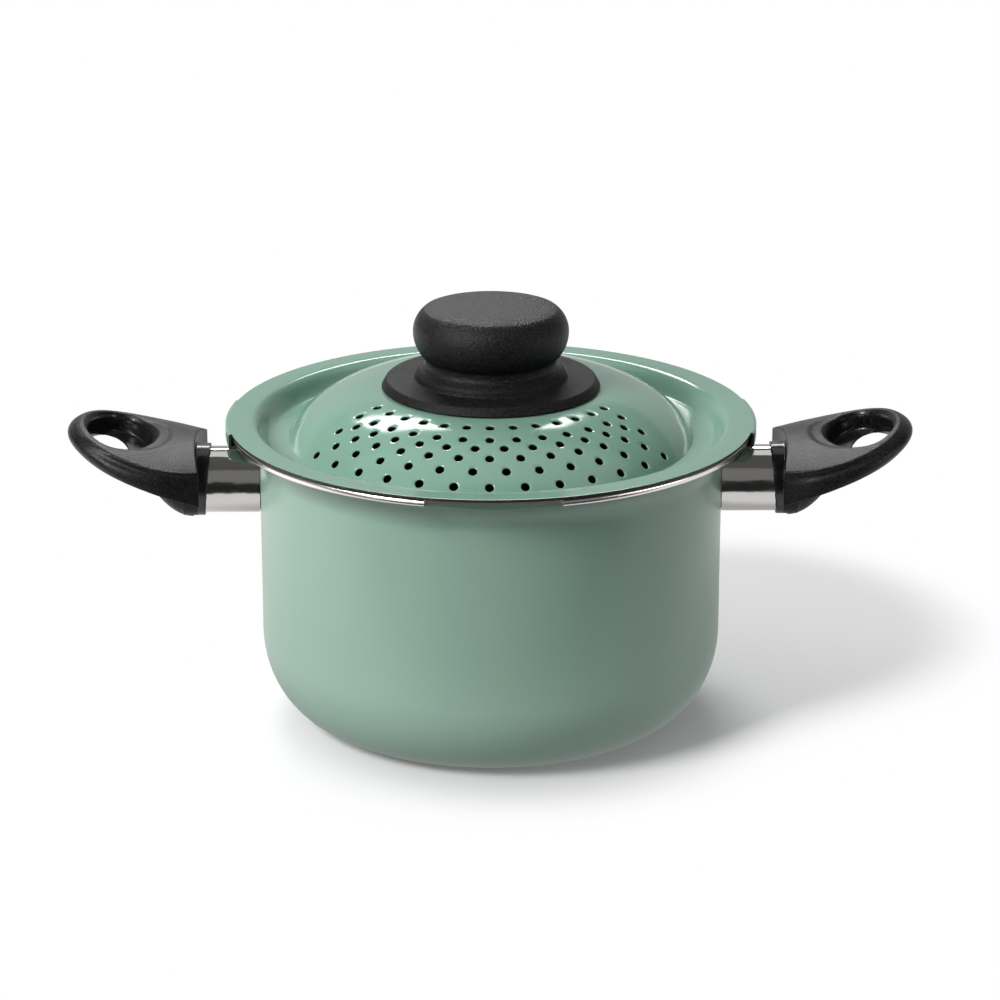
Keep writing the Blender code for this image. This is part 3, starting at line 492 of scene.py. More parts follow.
# %% Cut the lip for the lock tabs
cut_outs = bmesh.new()
for side in (-1, 1):
    middle = (0, side * (NOTCH_LINE + NOTCH_DEPTH / 2), LIP_HEIGHT - NECK_RISE / 2 + WALL)
    block = Matrix.Diagonal((2 * NOTCH_HALF_WIDTH, NOTCH_DEPTH, NECK_RISE, 1))
    bmesh.ops.create_cube(cut_outs, size=1, matrix=Matrix.Translation(middle) @ block)
whole = list(cut_outs.verts) + list(cut_outs.edges) + list(cut_outs.faces)
bmesh.ops.bisect_plane(cut_outs, geom=whole, plane_co=(0, 0, COAT_TOP), plane_no=(0, 0, 1))
for face in cut_outs.faces:
    face.material_index = BARE if face.calc_center_median().z > COAT_TOP else COAT
notch_tool = loose_object("notch_tool", cut_outs)
cut(pot, notch_tool)
settle(pot, [notch_tool])
finish_piece(pot, "pot_body", [pot_enamel, lip_metal, base_metal, lining])

# %% [markdown]
# ## The strainer lid
# The lid is pressed from 1.2 mm sheet: a flat flange, a gutter, and a dome that is steep and creased at
# the back but falls in one round curve at the front, where the holes are. One section is spun, and each
# point behind the middle is then moved from the front's shape towards the back's, with the crease a
# little rounded. The two lock tabs are the flange's own edge, extruded down and in. Every hole is punched
# from above, so its rim is a little rounded. The dark lining covers the lid's underside. On the sheet's
# edge and the walls of the holes it is painted shade: it draws the dark line along the lid's edge and
# keeps the holes black.

# %% Sizes of the lid
SHEET = 0.0012
FLANGE_TOP = LIP_HEIGHT + SHEET_GAP + SHEET
SCREW_HOLE_RADIUS = 0.0028
PLATEAU_RINGS = (0.012, 0.022, 0.032, 0.039)
PLATEAU_RADIUS = 0.044
PLATEAU_RISE = 0.0139
DOME_ARC = 0.0585
CREASE_RADIUS = 0.0873
CREASE_RISE = 0.005
CREASE_ROUND = 0.0007
BACK_FOOT_RADIUS = 0.0954
GUTTER_DEPTH = 0.0086
GUTTER_RADIUS = 0.0975
GUTTER_FLOOR_PULL = 0.42
GUTTER_BROW_PULL = 0.47
FLANGE_INNER_RADIUS = 0.107
FLANGE_MIDDLE_RADIUS = 0.112
FLANGE_RADIUS = 0.1166
FLANGE_EDGE_BAND = 0.0006
HOOK_PLAY = 0.0008
BACK_SHARPNESS = 1.2
HOLE_ROWS = ((0.0867, 13), (0.0811, 12), (0.0755, 13), (0.0705, 12), (0.0655, 13), (0.0568, 13))
HOLE_RADIUS = 0.00188
HOLE_STEP = math.radians(10.1)
HOLE_MOUTH_DEPTH = 0.00035
HOLE_MOUTH_FLARE = 0.00025
HOLE_MOUTH_BEND = (0.00008, 0.00015)
PUNCH_LENGTH = 0.004
PUNCH_SHOULDER = 0.0009
STRAINER_TURN = math.radians(-1.0)


def front_rise(radius):
    """Top of the lid above the flange at the front of the dome."""
    out = max(radius - PLATEAU_RADIUS, 0)
    return PLATEAU_RISE - DOME_ARC + math.sqrt(DOME_ARC**2 - out**2)


def back_rise(radius):
    """Top of the lid above the flange behind the knob, inside the crease."""
    out = CREASE_RADIUS - PLATEAU_RADIUS
    drop = PLATEAU_RISE - CREASE_RISE
    back_arc = (out**2 + drop**2) / (2 * drop)
    return PLATEAU_RISE - back_arc + math.sqrt(back_arc**2 - max(radius - PLATEAU_RADIUS, 0) ** 2)


foot_drop = PLATEAU_RISE + GUTTER_DEPTH
FRONT_FOOT = PLATEAU_RADIUS + math.sqrt(DOME_ARC**2 - (DOME_ARC - foot_drop) ** 2)
print("front foot of the dome at", round(1000 * FRONT_FOOT, 1), "mm")

# %% Spin the lid
crease_angle = math.asin((CREASE_RADIUS - PLATEAU_RADIUS) / DOME_ARC)
radii = [SCREW_HOLE_RADIUS, *PLATEAU_RINGS]
radii += [PLATEAU_RADIUS + DOME_ARC * math.sin(crease_angle * i / 16) for i in range(16)]
steepness = (FRONT_FOOT - CREASE_RADIUS) / (BACK_FOOT_RADIUS - CREASE_RADIUS)
radii += [CREASE_RADIUS + CREASE_ROUND * step for step in (-1, -0.5, 0, 0.5 * steepness, steepness)]
radii += [CREASE_RADIUS + (FRONT_FOOT - CREASE_RADIUS) * i / 5 for i in range(1, 5)]
top = [(radius, front_rise(radius)) for radius in radii]
top += [(FRONT_FOOT, -GUTTER_DEPTH)]
reach = FLANGE_INNER_RADIUS - GUTTER_RADIUS
floor_pull = (GUTTER_RADIUS + GUTTER_FLOOR_PULL * reach, -GUTTER_DEPTH)
brow_pull = (GUTTER_RADIUS + GUTTER_BROW_PULL * reach, 0)
top += bezier(((GUTTER_RADIUS, -GUTTER_DEPTH), floor_pull, brow_pull, (FLANGE_INNER_RADIUS, 0)), 14)
top += [(FLANGE_MIDDLE_RADIUS, 0), (FLANGE_RADIUS - FLANGE_EDGE_BAND, 0), (FLANGE_RADIUS, 0)]
lid_sheet = spin_shape([(radius, FLANGE_TOP + height) for radius, height in top], 288)
upper = min(lid_sheet.faces, key=lambda face: face.calc_center_median().to_2d().length)
if upper.normal.z < 0:
    bmesh.ops.reverse_faces(lid_sheet, faces=lid_sheet.faces)
print("lid sheet faces:", len(lid_sheet.faces))

# %% Move the back of the dome to its own shape
crest = back_rise(CREASE_RADIUS) - back_rise(CREASE_RADIUS - CREASE_ROUND)
wall = (CREASE_RISE + GUTTER_DEPTH) / (BACK_FOOT_RADIUS - CREASE_RADIUS)
crest_drop = (wall * CREASE_ROUND + crest) / 4
for vertex in lid_sheet.verts:
    radius = vertex.co.to_2d().length
    if PLATEAU_RADIUS <= radius <= FRONT_FOOT + 0.0002:
        back = max(0, vertex.co.y / radius) ** BACK_SHARPNESS
        down = max(0, (radius - CREASE_RADIUS) / (FRONT_FOOT - CREASE_RADIUS))
        behind = back_rise(min(radius, CREASE_RADIUS)) - down * (CREASE_RISE + GUTTER_DEPTH)
        off = CREASE_RADIUS - radius if radius < CREASE_RADIUS else (radius - CREASE_RADIUS) / steepness
        behind -= crest_drop * max(0, 1 - off / CREASE_ROUND) ** 2
        height = front_rise(min(radius, FRONT_FOOT)) * (1 - back) + behind * back
        stretch = (radius + back * down * (BACK_FOOT_RADIUS - FRONT_FOOT)) / radius
        vertex.co = (vertex.co.x * stretch, vertex.co.y * stretch, FLANGE_TOP + height)
print("crease rounded by", round(1000 * crest_drop, 2), "mm")

# %% Extrude the lock tabs
under_lip = (LIP_RADIUS - HOOK_RADIUS) / NECK_FLARE
hook_top = LIP_HEIGHT - LIP_THICKNESS - NECK_RISE * (1 - math.sqrt(1 - under_lip**2)) - HOOK_PLAY
hook_bottom = hook_top - SHEET
tab = arc((SKIRT_RADIUS - SHEET, FLANGE_TOP - SHEET), (SHEET, SHEET), 60, 0, 4)
tab += arc((SKIRT_RADIUS - SHEET, hook_bottom + SHEET), (SHEET, SHEET), 0, -90, 5)
tab += [(HOOK_RADIUS, hook_bottom)]
rim = []
for edge in ring_edges(lid_sheet, FLANGE_RADIUS, FLANGE_TOP):
    middle = (edge.verts[0].co + edge.verts[1].co) / 2
    if abs(math.atan2(middle.y, abs(middle.x))) < TAB_HALF_ANGLE:
        rim.append(edge)
for radius, height in tab:
    made = bmesh.ops.extrude_edge_only(lid_sheet, edges=rim)["geom"]
    for vertex in (item for item in made if isinstance(item, bmesh.types.BMVert)):
        flat = vertex.co.to_2d().normalized() * radius
        vertex.co = (flat.x, flat.y, height)
    rim = [item for item in made if isinstance(item, bmesh.types.BMEdge)]
print("edges along the two tabs:", len(rim))

# %% Give the sheet its thickness
lid = loose_object("strainer_lid", lid_sheet)
for material in (lid_enamel, lining):
    lid.data.materials.append(material)
thickness = lid.modifiers.new("Sheet", "SOLIDIFY")
thickness.thickness = SHEET
thickness.offset = -1
thickness.use_even_offset = True
thickness.material_offset = 1
# the sheet's edge takes the dark lining as painted shade: the dark line of shadow along the lid's edge
thickness.material_offset_rim = 1
rounding = lid.modifiers.new("Coated edges", "BEVEL")
rounding.width = 0.0003
rounding.segments = 2
rounding.limit_method = "ANGLE"
rounding.angle_limit = math.radians(50)
print("modifiers of the lid:", [modifier.name for modifier in lid.modifiers])

# %% Punch the holes
bend_out, bend_down = HOLE_MOUTH_BEND
punch_section = [(0, -PUNCH_LENGTH), (HOLE_RADIUS, -PUNCH_LENGTH), (HOLE_RADIUS, -HOLE_MOUTH_DEPTH)]
punch_section += [(HOLE_RADIUS + bend_out, -bend_down), (HOLE_RADIUS + HOLE_MOUTH_FLARE, 0)]
punch_section += [(HOLE_RADIUS + PUNCH_SHOULDER, HOLE_MOUTH_DEPTH), (0, HOLE_MOUTH_DEPTH)]
punches = bmesh.new()
for row_radius, count in HOLE_ROWS:
    slope = math.asin((row_radius - PLATEAU_RADIUS) / DOME_ARC)
    for i in range(count):
        turn = -math.pi / 2 + STRAINER_TURN + (i - (count - 1) / 2) * HOLE_STEP
        place = Matrix.Rotation(turn, 4, "Z")
        place @= Matrix.Translation((row_radius, 0, FLANGE_TOP + front_rise(row_radius)))
        place @= Matrix.Rotation(slope, 4, "Y")
        punch = spin_shape(punch_section, 20)
        for face in punch.faces:
            # the punch's straight wall carries the dark lining into the holes, as painted shade that keeps
            # them black
            face.material_index = int(face.calc_center_median().z < -HOLE_MOUTH_DEPTH)
        punch.transform(place)
        mesh = bpy.data.meshes.new("punch")
        punch.to_mesh(mesh)
        punch.free()
        punches.from_mesh(mesh)
        bpy.data.meshes.remove(mesh)
punch_tool = loose_object("hole_punches", punches)
cut(lid, punch_tool)
settle(lid, [punch_tool])
finish_piece(lid, "lid_shell", [lid_enamel, lining], sharp=50)

# %% [markdown]
# ## The knob
# The knob is a broad foot, a rounded collar, a neck and a rounded head with a flat top, pressed in one
# piece. It is hollow below, with a boss in the middle for the insert. One spin of the whole section makes
# it, walls and hollow together.

# %% Sizes of the knob
# heights count from the knob's own bottom, and the two trims are degrees of arc that softer curves replace
KNOB_BOTTOM = FLANGE_TOP + PLATEAU_RISE + SHEET_GAP
KNOB_HEIGHT = 0.0368
KNOB_FLAT_RADIUS = 0.012
KNOB_TOP_RADIUS = 0.0269
KNOB_RADIUS = 0.0345
KNOB_BULGE_HEIGHT = 0.0255
KNOB_NECK_RADIUS = 0.0291
KNOB_NECK_HEIGHT = 0.0135
KNOB_FOOT_RADIUS = 0.0485
KNOB_FOOT_THICKNESS = 0.004
KNOB_FOOT_SLOPE = 0.002
KNOB_FOOT_CHAMFER = 0.0005
KNOB_FOOT_ROUNDING = 0.0008
KNOB_TOP_BEND = 0.0123
KNOB_TOP_EASE = 0.014
KNOB_TOP_CORNER = 0.0008
KNOB_SHOULDER_TRIM = 14
KNOB_LOWER_BEND = 0.0127
KNOB_LOWER_TRIM = 4
KNOB_NECK_BEND = 0.0004
KNOB_NECK_EASE = 0.0022
KNOB_COLLAR_RADIUS = 0.0335
KNOB_COLLAR_HEIGHT = 0.0085
KNOB_COLLAR_FILLET = 0.0012
KNOB_WALL = 0.0045
KNOB_HOLLOW_CORNER = 0.003
KNOB_BOSS_RADIUS = 0.008
KNOB_BORE_RADIUS = 0.0048
KNOB_BORE_DEPTH = 0.0163
print("top of the knob at", round(1000 * (KNOB_BOTTOM + KNOB_HEIGHT), 1), "mm")

# %% Draw the knob's section
head_in = KNOB_RADIUS - KNOB_TOP_BEND
crisp = math.degrees(math.acos((KNOB_TOP_RADIUS - head_in) / KNOB_TOP_BEND))
rise = (KNOB_HEIGHT - KNOB_BULGE_HEIGHT) / math.sin(math.radians(crisp))
knob_section = [(0, KNOB_HEIGHT), (KNOB_FLAT_RADIUS, KNOB_HEIGHT)]
shoulder = arc((head_in, KNOB_BULGE_HEIGHT), (KNOB_TOP_BEND, rise), crisp - KNOB_SHOULDER_TRIM, 0, 14)
ease_start = (KNOB_TOP_RADIUS - KNOB_TOP_EASE, KNOB_HEIGHT)
ease_corner = (KNOB_TOP_RADIUS - KNOB_TOP_CORNER, KNOB_HEIGHT)
knob_section += bezier((ease_start, ease_corner, shoulder[0]), 14) + shoulder
neck_in = KNOB_RADIUS - KNOB_NECK_RADIUS
under = math.degrees(math.acos(1 - neck_in / KNOB_LOWER_BEND))
fall = (KNOB_BULGE_HEIGHT - KNOB_NECK_HEIGHT) / math.sin(math.radians(under))
bulge_in = (KNOB_RADIUS - KNOB_LOWER_BEND, KNOB_BULGE_HEIGHT)
lower = arc(bulge_in, (KNOB_LOWER_BEND, fall), 0, KNOB_LOWER_TRIM - under, 14)
neck_bend = (KNOB_NECK_RADIUS, KNOB_NECK_HEIGHT + KNOB_NECK_BEND)
neck_end = (KNOB_NECK_RADIUS, KNOB_NECK_HEIGHT - KNOB_NECK_EASE)
knob_section += lower + bezier((lower[-1], neck_bend, neck_end), 6)
turns_at = ((KNOB_NECK_RADIUS, KNOB_COLLAR_HEIGHT), (KNOB_COLLAR_RADIUS, KNOB_COLLAR_HEIGHT))
collar_end = (KNOB_COLLAR_RADIUS, KNOB_FOOT_THICKNESS + KNOB_COLLAR_FILLET)
knob_section += bezier((neck_end, *turns_at, collar_end), 16)
fillet_centre = (collar_end[0] + KNOB_COLLAR_FILLET, collar_end[1])
knob_section += arc(fillet_centre, (-KNOB_COLLAR_FILLET, KNOB_COLLAR_FILLET), 0, -90, 5)
foot_top = (KNOB_FOOT_RADIUS - KNOB_FOOT_SLOPE, KNOB_FOOT_THICKNESS)
knob_section += [foot_top, (KNOB_FOOT_RADIUS, KNOB_FOOT_CHAMFER), (KNOB_FOOT_RADIUS - KNOB_FOOT_CHAMFER, 0)]
roof = KNOB_HEIGHT - KNOB_WALL
hollow = KNOB_NECK_RADIUS - KNOB_WALL
knob_section += [(hollow, 0), (hollow, roof - KNOB_HOLLOW_CORNER), (hollow - KNOB_HOLLOW_CORNER, roof)]
knob_section += [(KNOB_BOSS_RADIUS, roof), (KNOB_BOSS_RADIUS, 0), (KNOB_BORE_RADIUS, 0)]
knob_section += [(KNOB_BORE_RADIUS, KNOB_BORE_DEPTH), (0, KNOB_BORE_DEPTH)]
print("points of the knob's section:", len(knob_section))

# %% Spin the knob
knob_bm = spin_shape([(radius, KNOB_BOTTOM + height) for radius, height in knob_section], 128)
foot_edge = ring_edges(knob_bm, foot_top[0], KNOB_BOTTOM + foot_top[1])
round_edges(knob_bm, foot_edge, KNOB_FOOT_ROUNDING, 4)
# the foot and the collar's lower part take the duller copy, as painted shade under the head
for face in knob_bm.faces:
    face.material_index = int(face.calc_center_median().z < KNOB_BOTTOM + KNOB_COLLAR_HEIGHT)
knob = loose_object("bakelite_knob", knob_bm)
finish_piece(knob, "knob", [coarse_bakelite, painted_shade_bakelite])

# %% [markdown]
# ## The flame guards
# Each guard is an oval tube of thin stainless sheet that keeps the flame off the grip. Its pot end
# follows the wall and the flared neck. A ring of points is set on the pot's own surface, extruded
# straight out to the grip, and a Solidify modifier gives the sheet its thickness.

# %% Build the guards
HANDLE_HEIGHT = 0.1078
GUARD_END = 0.1286
GUARD_HALF_WIDTH = 0.010
GUARD_HALF_HEIGHT = 0.015
GUARD_OVALNESS = 2.4
GUARD_SHEET = 0.0008


def oval_point(turn, half_width, half_height):
    """Point of Y and Z on the guard's oval, a little squarer than an ellipse."""
    across = math.copysign(abs(math.cos(turn)) ** (2 / GUARD_OVALNESS), math.cos(turn))
    up = math.copysign(abs(math.sin(turn)) ** (2 / GUARD_OVALNESS), math.sin(turn))
    return half_width * across, HANDLE_HEIGHT + half_height * up


def pot_outside(across, height):
    """Distance from the axis along X where the pot's outside is, at a Y and a height."""
    foot = LIP_HEIGHT - LIP_THICKNESS - NECK_RISE
    up = min(1, max(0, height - foot) / NECK_RISE)
    radius = LIP_RADIUS - NECK_FLARE * math.sqrt(1 - up * up)
    return math.sqrt((radius + SHEET_GAP) ** 2 - across**2)


sleeve = bmesh.new()
ring = bmesh.ops.create_circle(sleeve, segments=96, radius=1)["verts"]
for vertex in ring:
    across, height = oval_point(math.atan2(vertex.co.y, vertex.co.x), GUARD_HALF_WIDTH, GUARD_HALF_HEIGHT)
    vertex.co = (pot_outside(across, height), across, height)
made = bmesh.ops.extrude_edge_only(sleeve, edges=list(sleeve.edges))["geom"]
for vertex in (item for item in made if isinstance(item, bmesh.types.BMVert)):
    vertex.co.x = GUARD_END
bmesh.ops.recalc_face_normals(sleeve, faces=sleeve.faces)
if sum(face.normal.z * (face.calc_center_median().z - HANDLE_HEIGHT) for face in sleeve.faces) < 0:
    bmesh.ops.reverse_faces(sleeve, faces=sleeve.faces)
guard_right = loose_object("guard_sleeve_right", sleeve)
thickness = guard_right.modifiers.new("Sheet", "SOLIDIFY")
thickness.thickness = GUARD_SHEET
thickness.offset = -1
settle(guard_right)
guard_left = other_side(guard_right, "guard_sleeve_left")
finish_piece(guard_right, "flame_guard_right", [stainless])
finish_piece(guard_left, "flame_guard_left", [stainless])

# %% [markdown]
# ## The grips
# Each grip is a moulded loop that rises away from the pot, with a crisp crease round its crowned top, a
# flank that is hollow below the crease and swells towards the tip, a finger hole, and a rib below for the
# screw. Its blank is a ring of the crease's plan, extruded level by level. Nose and rib are joined to it
# and hole, socket and screw tunnel are cut. A voxel remesh then melts the joints together as a mould
# maker's fillets do.

# %% Sizes of the grips
GRIP_START = 0.1314
GRIP_END_SAG = 0.003
GRIP_END_HALF_WIDTH = 0.0322
GRIP_WIDE_AT = 0.1451
GRIP_HALF_WIDTH = 0.0368
GRIP_LENGTH_END = 0.182
GRIP_ROUNDNESS = 2.15
CREASE_ROOT = 0.013
CREASE_TIP = 0.0285
CREASE_SAG = 0.0025
GRIP_CROWN = 0.0062
FLANK_DEPTH = 0.0097
FLANK_ROOT_EXTRA = 0.0063
FLANK_BULGE = 0.006
FLANK_COVE = 0.0009
FLANK_COVE_AT = 0.2
FLANK_CLOSING = 0.87
HOLE_CENTRE = 0.165
HOLE_HALF_LENGTH = 0.014
HOLE_HALF_WIDTH = 0.024
HOLE_WALL = 0.0072
HOLE_RIM_CURVE = ((0.006, 0.007), (0.0025, 0.001), (0.0006, 0.0), (0, -0.003))
DISH_CENTRE = 0.160
DISH_HALF_LENGTH = 0.019
DISH_HALF_WIDTH = 0.025
DISH_DEPTH = 0.0012
DISH_BLEND = 0.14
GAP_CENTRE = 0.1704
GAP_HALF_LENGTH = 0.0088
GAP_HALF_WIDTH = 0.019
GAP_DEPTH = 0.009
RIB_DEPTH = 0.0171
RIB_HALF_WIDTH = 0.0112
RIB_START = 0.1332
RIB_END = 0.1585
RIB_TAPER = 0.45
RIB_ROUNDNESS = 0.6
NOSE_TOP_START = 0.1246
NOSE_BOTTOM_START = 0.1276
NOSE_HALF_WIDTH = 0.0113
NOSE_HALF_HEIGHT = 0.0163
NOSE_ROOT = GRIP_START + 0.006
TOOL_OVERRUN = 0.003
TUNNEL_RADIUS = 0.0023
COUNTERBORE_RADIUS = 0.0048
COUNTERBORE_START = 0.1445
POLISHED_END = GRIP_START - 0.0006
POLISHED_HALF_WIDTH = NOSE_HALF_WIDTH + 0.001
POLISHED_HALF_HEIGHT = NOSE_HALF_HEIGHT + 0.0012
POLISHED_RIM = 1.02
print("grip from", round(1000 * NOSE_TOP_START, 1), "to", round(1000 * GRIP_LENGTH_END, 1), "mm")

# %% Curves of the grip
grip_corner = GRIP_START - GRIP_END_SAG
grip_middle = (GRIP_START + GRIP_LENGTH_END) / 2


def grip_half_width(along):
    """Half width of the grip's crease at a distance from the pot's axis."""
    if along < GRIP_WIDE_AT:
        share = (along - grip_corner) / (GRIP_WIDE_AT - grip_corner)
        return GRIP_END_HALF_WIDTH + (GRIP_HALF_WIDTH - GRIP_END_HALF_WIDTH) * math.sin(math.pi / 2 * share)
    share = min(1, (along - GRIP_WIDE_AT) / (GRIP_LENGTH_END - GRIP_WIDE_AT))
    return GRIP_HALF_WIDTH * (1 - share**GRIP_ROUNDNESS) ** (1 / GRIP_ROUNDNESS)


def grip_share(along):
    """Share of the way from the grip's pot end to its tip."""
    return (along - grip_corner) / (GRIP_LENGTH_END - grip_corner)


def crease_height(along):
    """Height of the crease, a shallow curve that rises to the tip."""
    share = grip_share(along)
    straight = HANDLE_HEIGHT + CREASE_ROOT + (CREASE_TIP - CREASE_ROOT) * share
    return straight - 4 * CREASE_SAG * share * (1 - share)


def grip_top(along, across):
    """Height of the crowned top, with a shallow dish for the thumb round the finger hole's pot end."""
    crown = GRIP_CROWN * (1 - grip_share(along) ** 3)
    half_width = max(grip_half_width(along), abs(across), SHEET_GAP)
    out = math.hypot((along - DISH_CENTRE) / DISH_HALF_LENGTH, across / DISH_HALF_WIDTH)
    dish = DISH_DEPTH * min(1, max(0, (1 - out) / DISH_BLEND))
    return crease_height(along) + crown * (1 - (across / half_width) ** 2) - dish


def grip_bottom(along):
    """Height of the underside."""
    return crease_height(along) - FLANK_DEPTH - FLANK_ROOT_EXTRA * (1 - grip_share(along)) ** 3


def smooth_step(low, high, value):
    """Rise smoothly from 0 to 1 between two values."""
    share = min(1, max(0, (value - low) / (high - low)))
    return share * share * (3 - 2 * share)


def flank_bulge(fraction, tip):
    """Swell of the flank from the crease at 0 to the underside at 1: round all the way at the tip."""
    low = max(0, (fraction - FLANK_COVE_AT) / (1 - FLANK_COVE_AT))
    side = math.sin(FLANK_CLOSING * math.pi * low) * smooth_step(0, 0.25, low)
    return side * (1 - tip) + math.sin(FLANK_CLOSING * math.pi * fraction**0.8) * tip


def flank_cove(fraction, tip):
    """Hollow of the flank below the crease, gone at the tip."""
    return (1 - tip) * max(0, 1 - ((fraction - FLANK_COVE_AT) / FLANK_COVE_AT) ** 2) ** 2


ends = (grip_corner, GRIP_LENGTH_END)
print("grip crease in mm at pot and tip:", [round(1000 * crease_height(end), 1) for end in ends])

# %% Plan of the crease
def grip_plan():
    """Closed plan of the crease as points of distance and width."""
    half = [(GRIP_START - GRIP_END_SAG * (i / 14) ** 2, GRIP_END_HALF_WIDTH * i / 14) for i in range(14)]
    for i in range(12):
        along = grip_corner + (GRIP_WIDE_AT - grip_corner) * i / 12
        half.append((along, grip_half_width(along)))
    for i in range(28):
        share = math.sin(math.pi / 2 * i / 28) ** (2 / GRIP_ROUNDNESS)
        along = GRIP_WIDE_AT + (GRIP_LENGTH_END - GRIP_WIDE_AT) * share
        half.append((along, grip_half_width(along)))
    return half + [(GRIP_LENGTH_END, 0)] + [(along, -across) for along, across in reversed(half[1:])]


plan = grip_plan()
outward = []
for i in range(len(plan)):
    along = (Vector(plan[(i + 1) % len(plan)]) - Vector(plan[i - 1])).normalized()
    outward.append(Vector((-along.y, along.x)))
print("points round the plan:", len(plan), "first direction out", [round(value, 2) for value in outward[0]])

# %% Extrude the blank level by level
def extruded_rings(name, rings):
    """Start from a circle, set it on the first ring, and extrude it to each next ring."""
    bm = bmesh.new()
    column = bm.verts.layers.int.new("column")
    first = bmesh.ops.create_circle(bm, segments=len(rings[0]), radius=1)["verts"]
    for i, vertex in enumerate(first):
        vertex[column] = i
        vertex.co = rings[0][i]
    edges = list(bm.edges)
    bmesh.ops.contextual_create(bm, geom=edges)
    for ring in rings[1:]:
        made = bmesh.ops.extrude_edge_only(bm, edges=edges)["geom"]
        for vertex in (item for item in made if isinstance(item, bmesh.types.BMVert)):
            vertex.co = ring[vertex[column]]
        edges = [item for item in made if isinstance(item, bmesh.types.BMEdge)]
        edges = [edge for edge in edges if len(edge.link_faces) == 1]
    bmesh.ops.contextual_create(bm, geom=edges)
    bmesh.ops.recalc_face_normals(bm, faces=bm.faces)
    return loose_object(name, bm)


# the crown's rings grow from a tenth of the plan to nearly all of it, and the flank's go down from there
rings = []
for step in range(27):
    scale = 0.1 + 0.88 * step / 26
    inner = [(grip_middle + (along - grip_middle) * scale, across * scale) for along, across in plan]
    rings.append([(along, across, grip_top(along, across)) for along, across in inner])
for step in range(17):
    fraction = step / 16
    level = []
    for (along, across), direction in zip(plan, outward):
        share = grip_share(along)
        tip = smooth_step(0.5, 0.95, share)
        push = FLANK_BULGE * flank_bulge(fraction, tip) * share**2
        push -= FLANK_COVE * flank_cove(fraction, tip) * min(1, 5 * share)
        place = Vector((along, across)) + direction * push
        height = grip_top(along, across)
        level.append((place.x, place.y, height + fraction * (grip_bottom(along) - height)))
    rings.append(level)
for scale in (0.7, 0.4, 0.1):
    inner = [(grip_middle + (along - grip_middle) * scale, across * scale) for along, across in plan]
    rings.append([(along, across, grip_bottom(along)) for along, across in inner])
grip = extruded_rings("loop_grip_right", rings)
print("grip blank faces:", len(grip.data.polygons))

# %% Nose and rib
turns = [2 * math.pi * i / 64 for i in range(64)]
nose_ring = [oval_point(turn, NOSE_HALF_WIDTH, NOSE_HALF_HEIGHT) for turn in turns]
nose_front = []
for across, height in nose_ring:
    share = (height - HANDLE_HEIGHT) / NOSE_HALF_HEIGHT
    slant = share * (NOSE_TOP_START - NOSE_BOTTOM_START) / 2
    nose_front.append(((NOSE_TOP_START + NOSE_BOTTOM_START) / 2 + slant, across, height))
nose = extruded_rings("nose", [nose_front, [(NOSE_ROOT, *point) for point in nose_ring]])

rib_rings = []
rib_bottom = HANDLE_HEIGHT - RIB_DEPTH
for step in range(13):
    share = step / 12
    along = RIB_START + (RIB_END - RIB_START) * share
    half_width = RIB_HALF_WIDTH * (1 - RIB_TAPER * share**2)
    upper = (crease_height(along) + grip_bottom(along)) / 2
    lower = rib_bottom + (grip_bottom(RIB_END) - rib_bottom) * share**2
    level = [(along, half_width, upper)]
    for i in range(25):
        angle = math.pi * i / 24
        up = RIB_ROUNDNESS * (upper - lower) * (1 - math.sin(angle))
        level.append((along, half_width * math.cos(angle), lower + up))
    level.append((along, -half_width, upper))
    rib_rings.append(level)
rib = extruded_rings("rib", rib_rings)
print("added to the blank:", nose.name, rib.name)

# %% Tool of the finger hole
slope = (CREASE_TIP - CREASE_ROOT) / (GRIP_LENGTH_END - GRIP_START)


def hole_ring(centre, half_length, half_width, height):
    """Ellipse that rises away from the pot with the grip."""
    points = []
    for turn in turns:
        along = centre + half_length * math.cos(turn)
        points.append((along, half_width * math.sin(turn), height + slope * (along - HOLE_CENTRE)))
    return points


crease = crease_height(HOLE_CENTRE)
rim_height = grip_top(HOLE_CENTRE, HOLE_HALF_WIDTH)
hole_rings = []
for grow, level in bezier(HOLE_RIM_CURVE, 10):
    length = HOLE_HALF_LENGTH + grow
    hole_rings.append(hole_ring(HOLE_CENTRE, length, HOLE_HALF_WIDTH + grow, rim_height + level))
hole_rings.append(hole_ring(HOLE_CENTRE, HOLE_HALF_LENGTH, HOLE_HALF_WIDTH, crease - HOLE_WALL))
for height in (crease - GAP_DEPTH, rib_bottom):
    hole_rings.append(hole_ring(GAP_CENTRE, GAP_HALF_LENGTH, GAP_HALF_WIDTH, height))
finger_hole = extruded_rings("finger_hole", hole_rings)
print("finger hole's rim at", round(1000 * rim_height, 1), "mm")

# %% Join, cut and melt the grip
def x_cylinder(name, radius, start, end):
    """Cylinder along the handle's axis."""
    bm = bmesh.new()
    place = Matrix.Translation(((start + end) / 2, 0, HANDLE_HEIGHT)) @ Matrix.Rotation(math.pi / 2, 4, "Y")
    size = {"radius1": radius, "radius2": radius, "depth": end - start}
    bmesh.ops.create_cone(bm, cap_ends=True, segments=32, matrix=place, **size)
    return loose_object(name, bm)


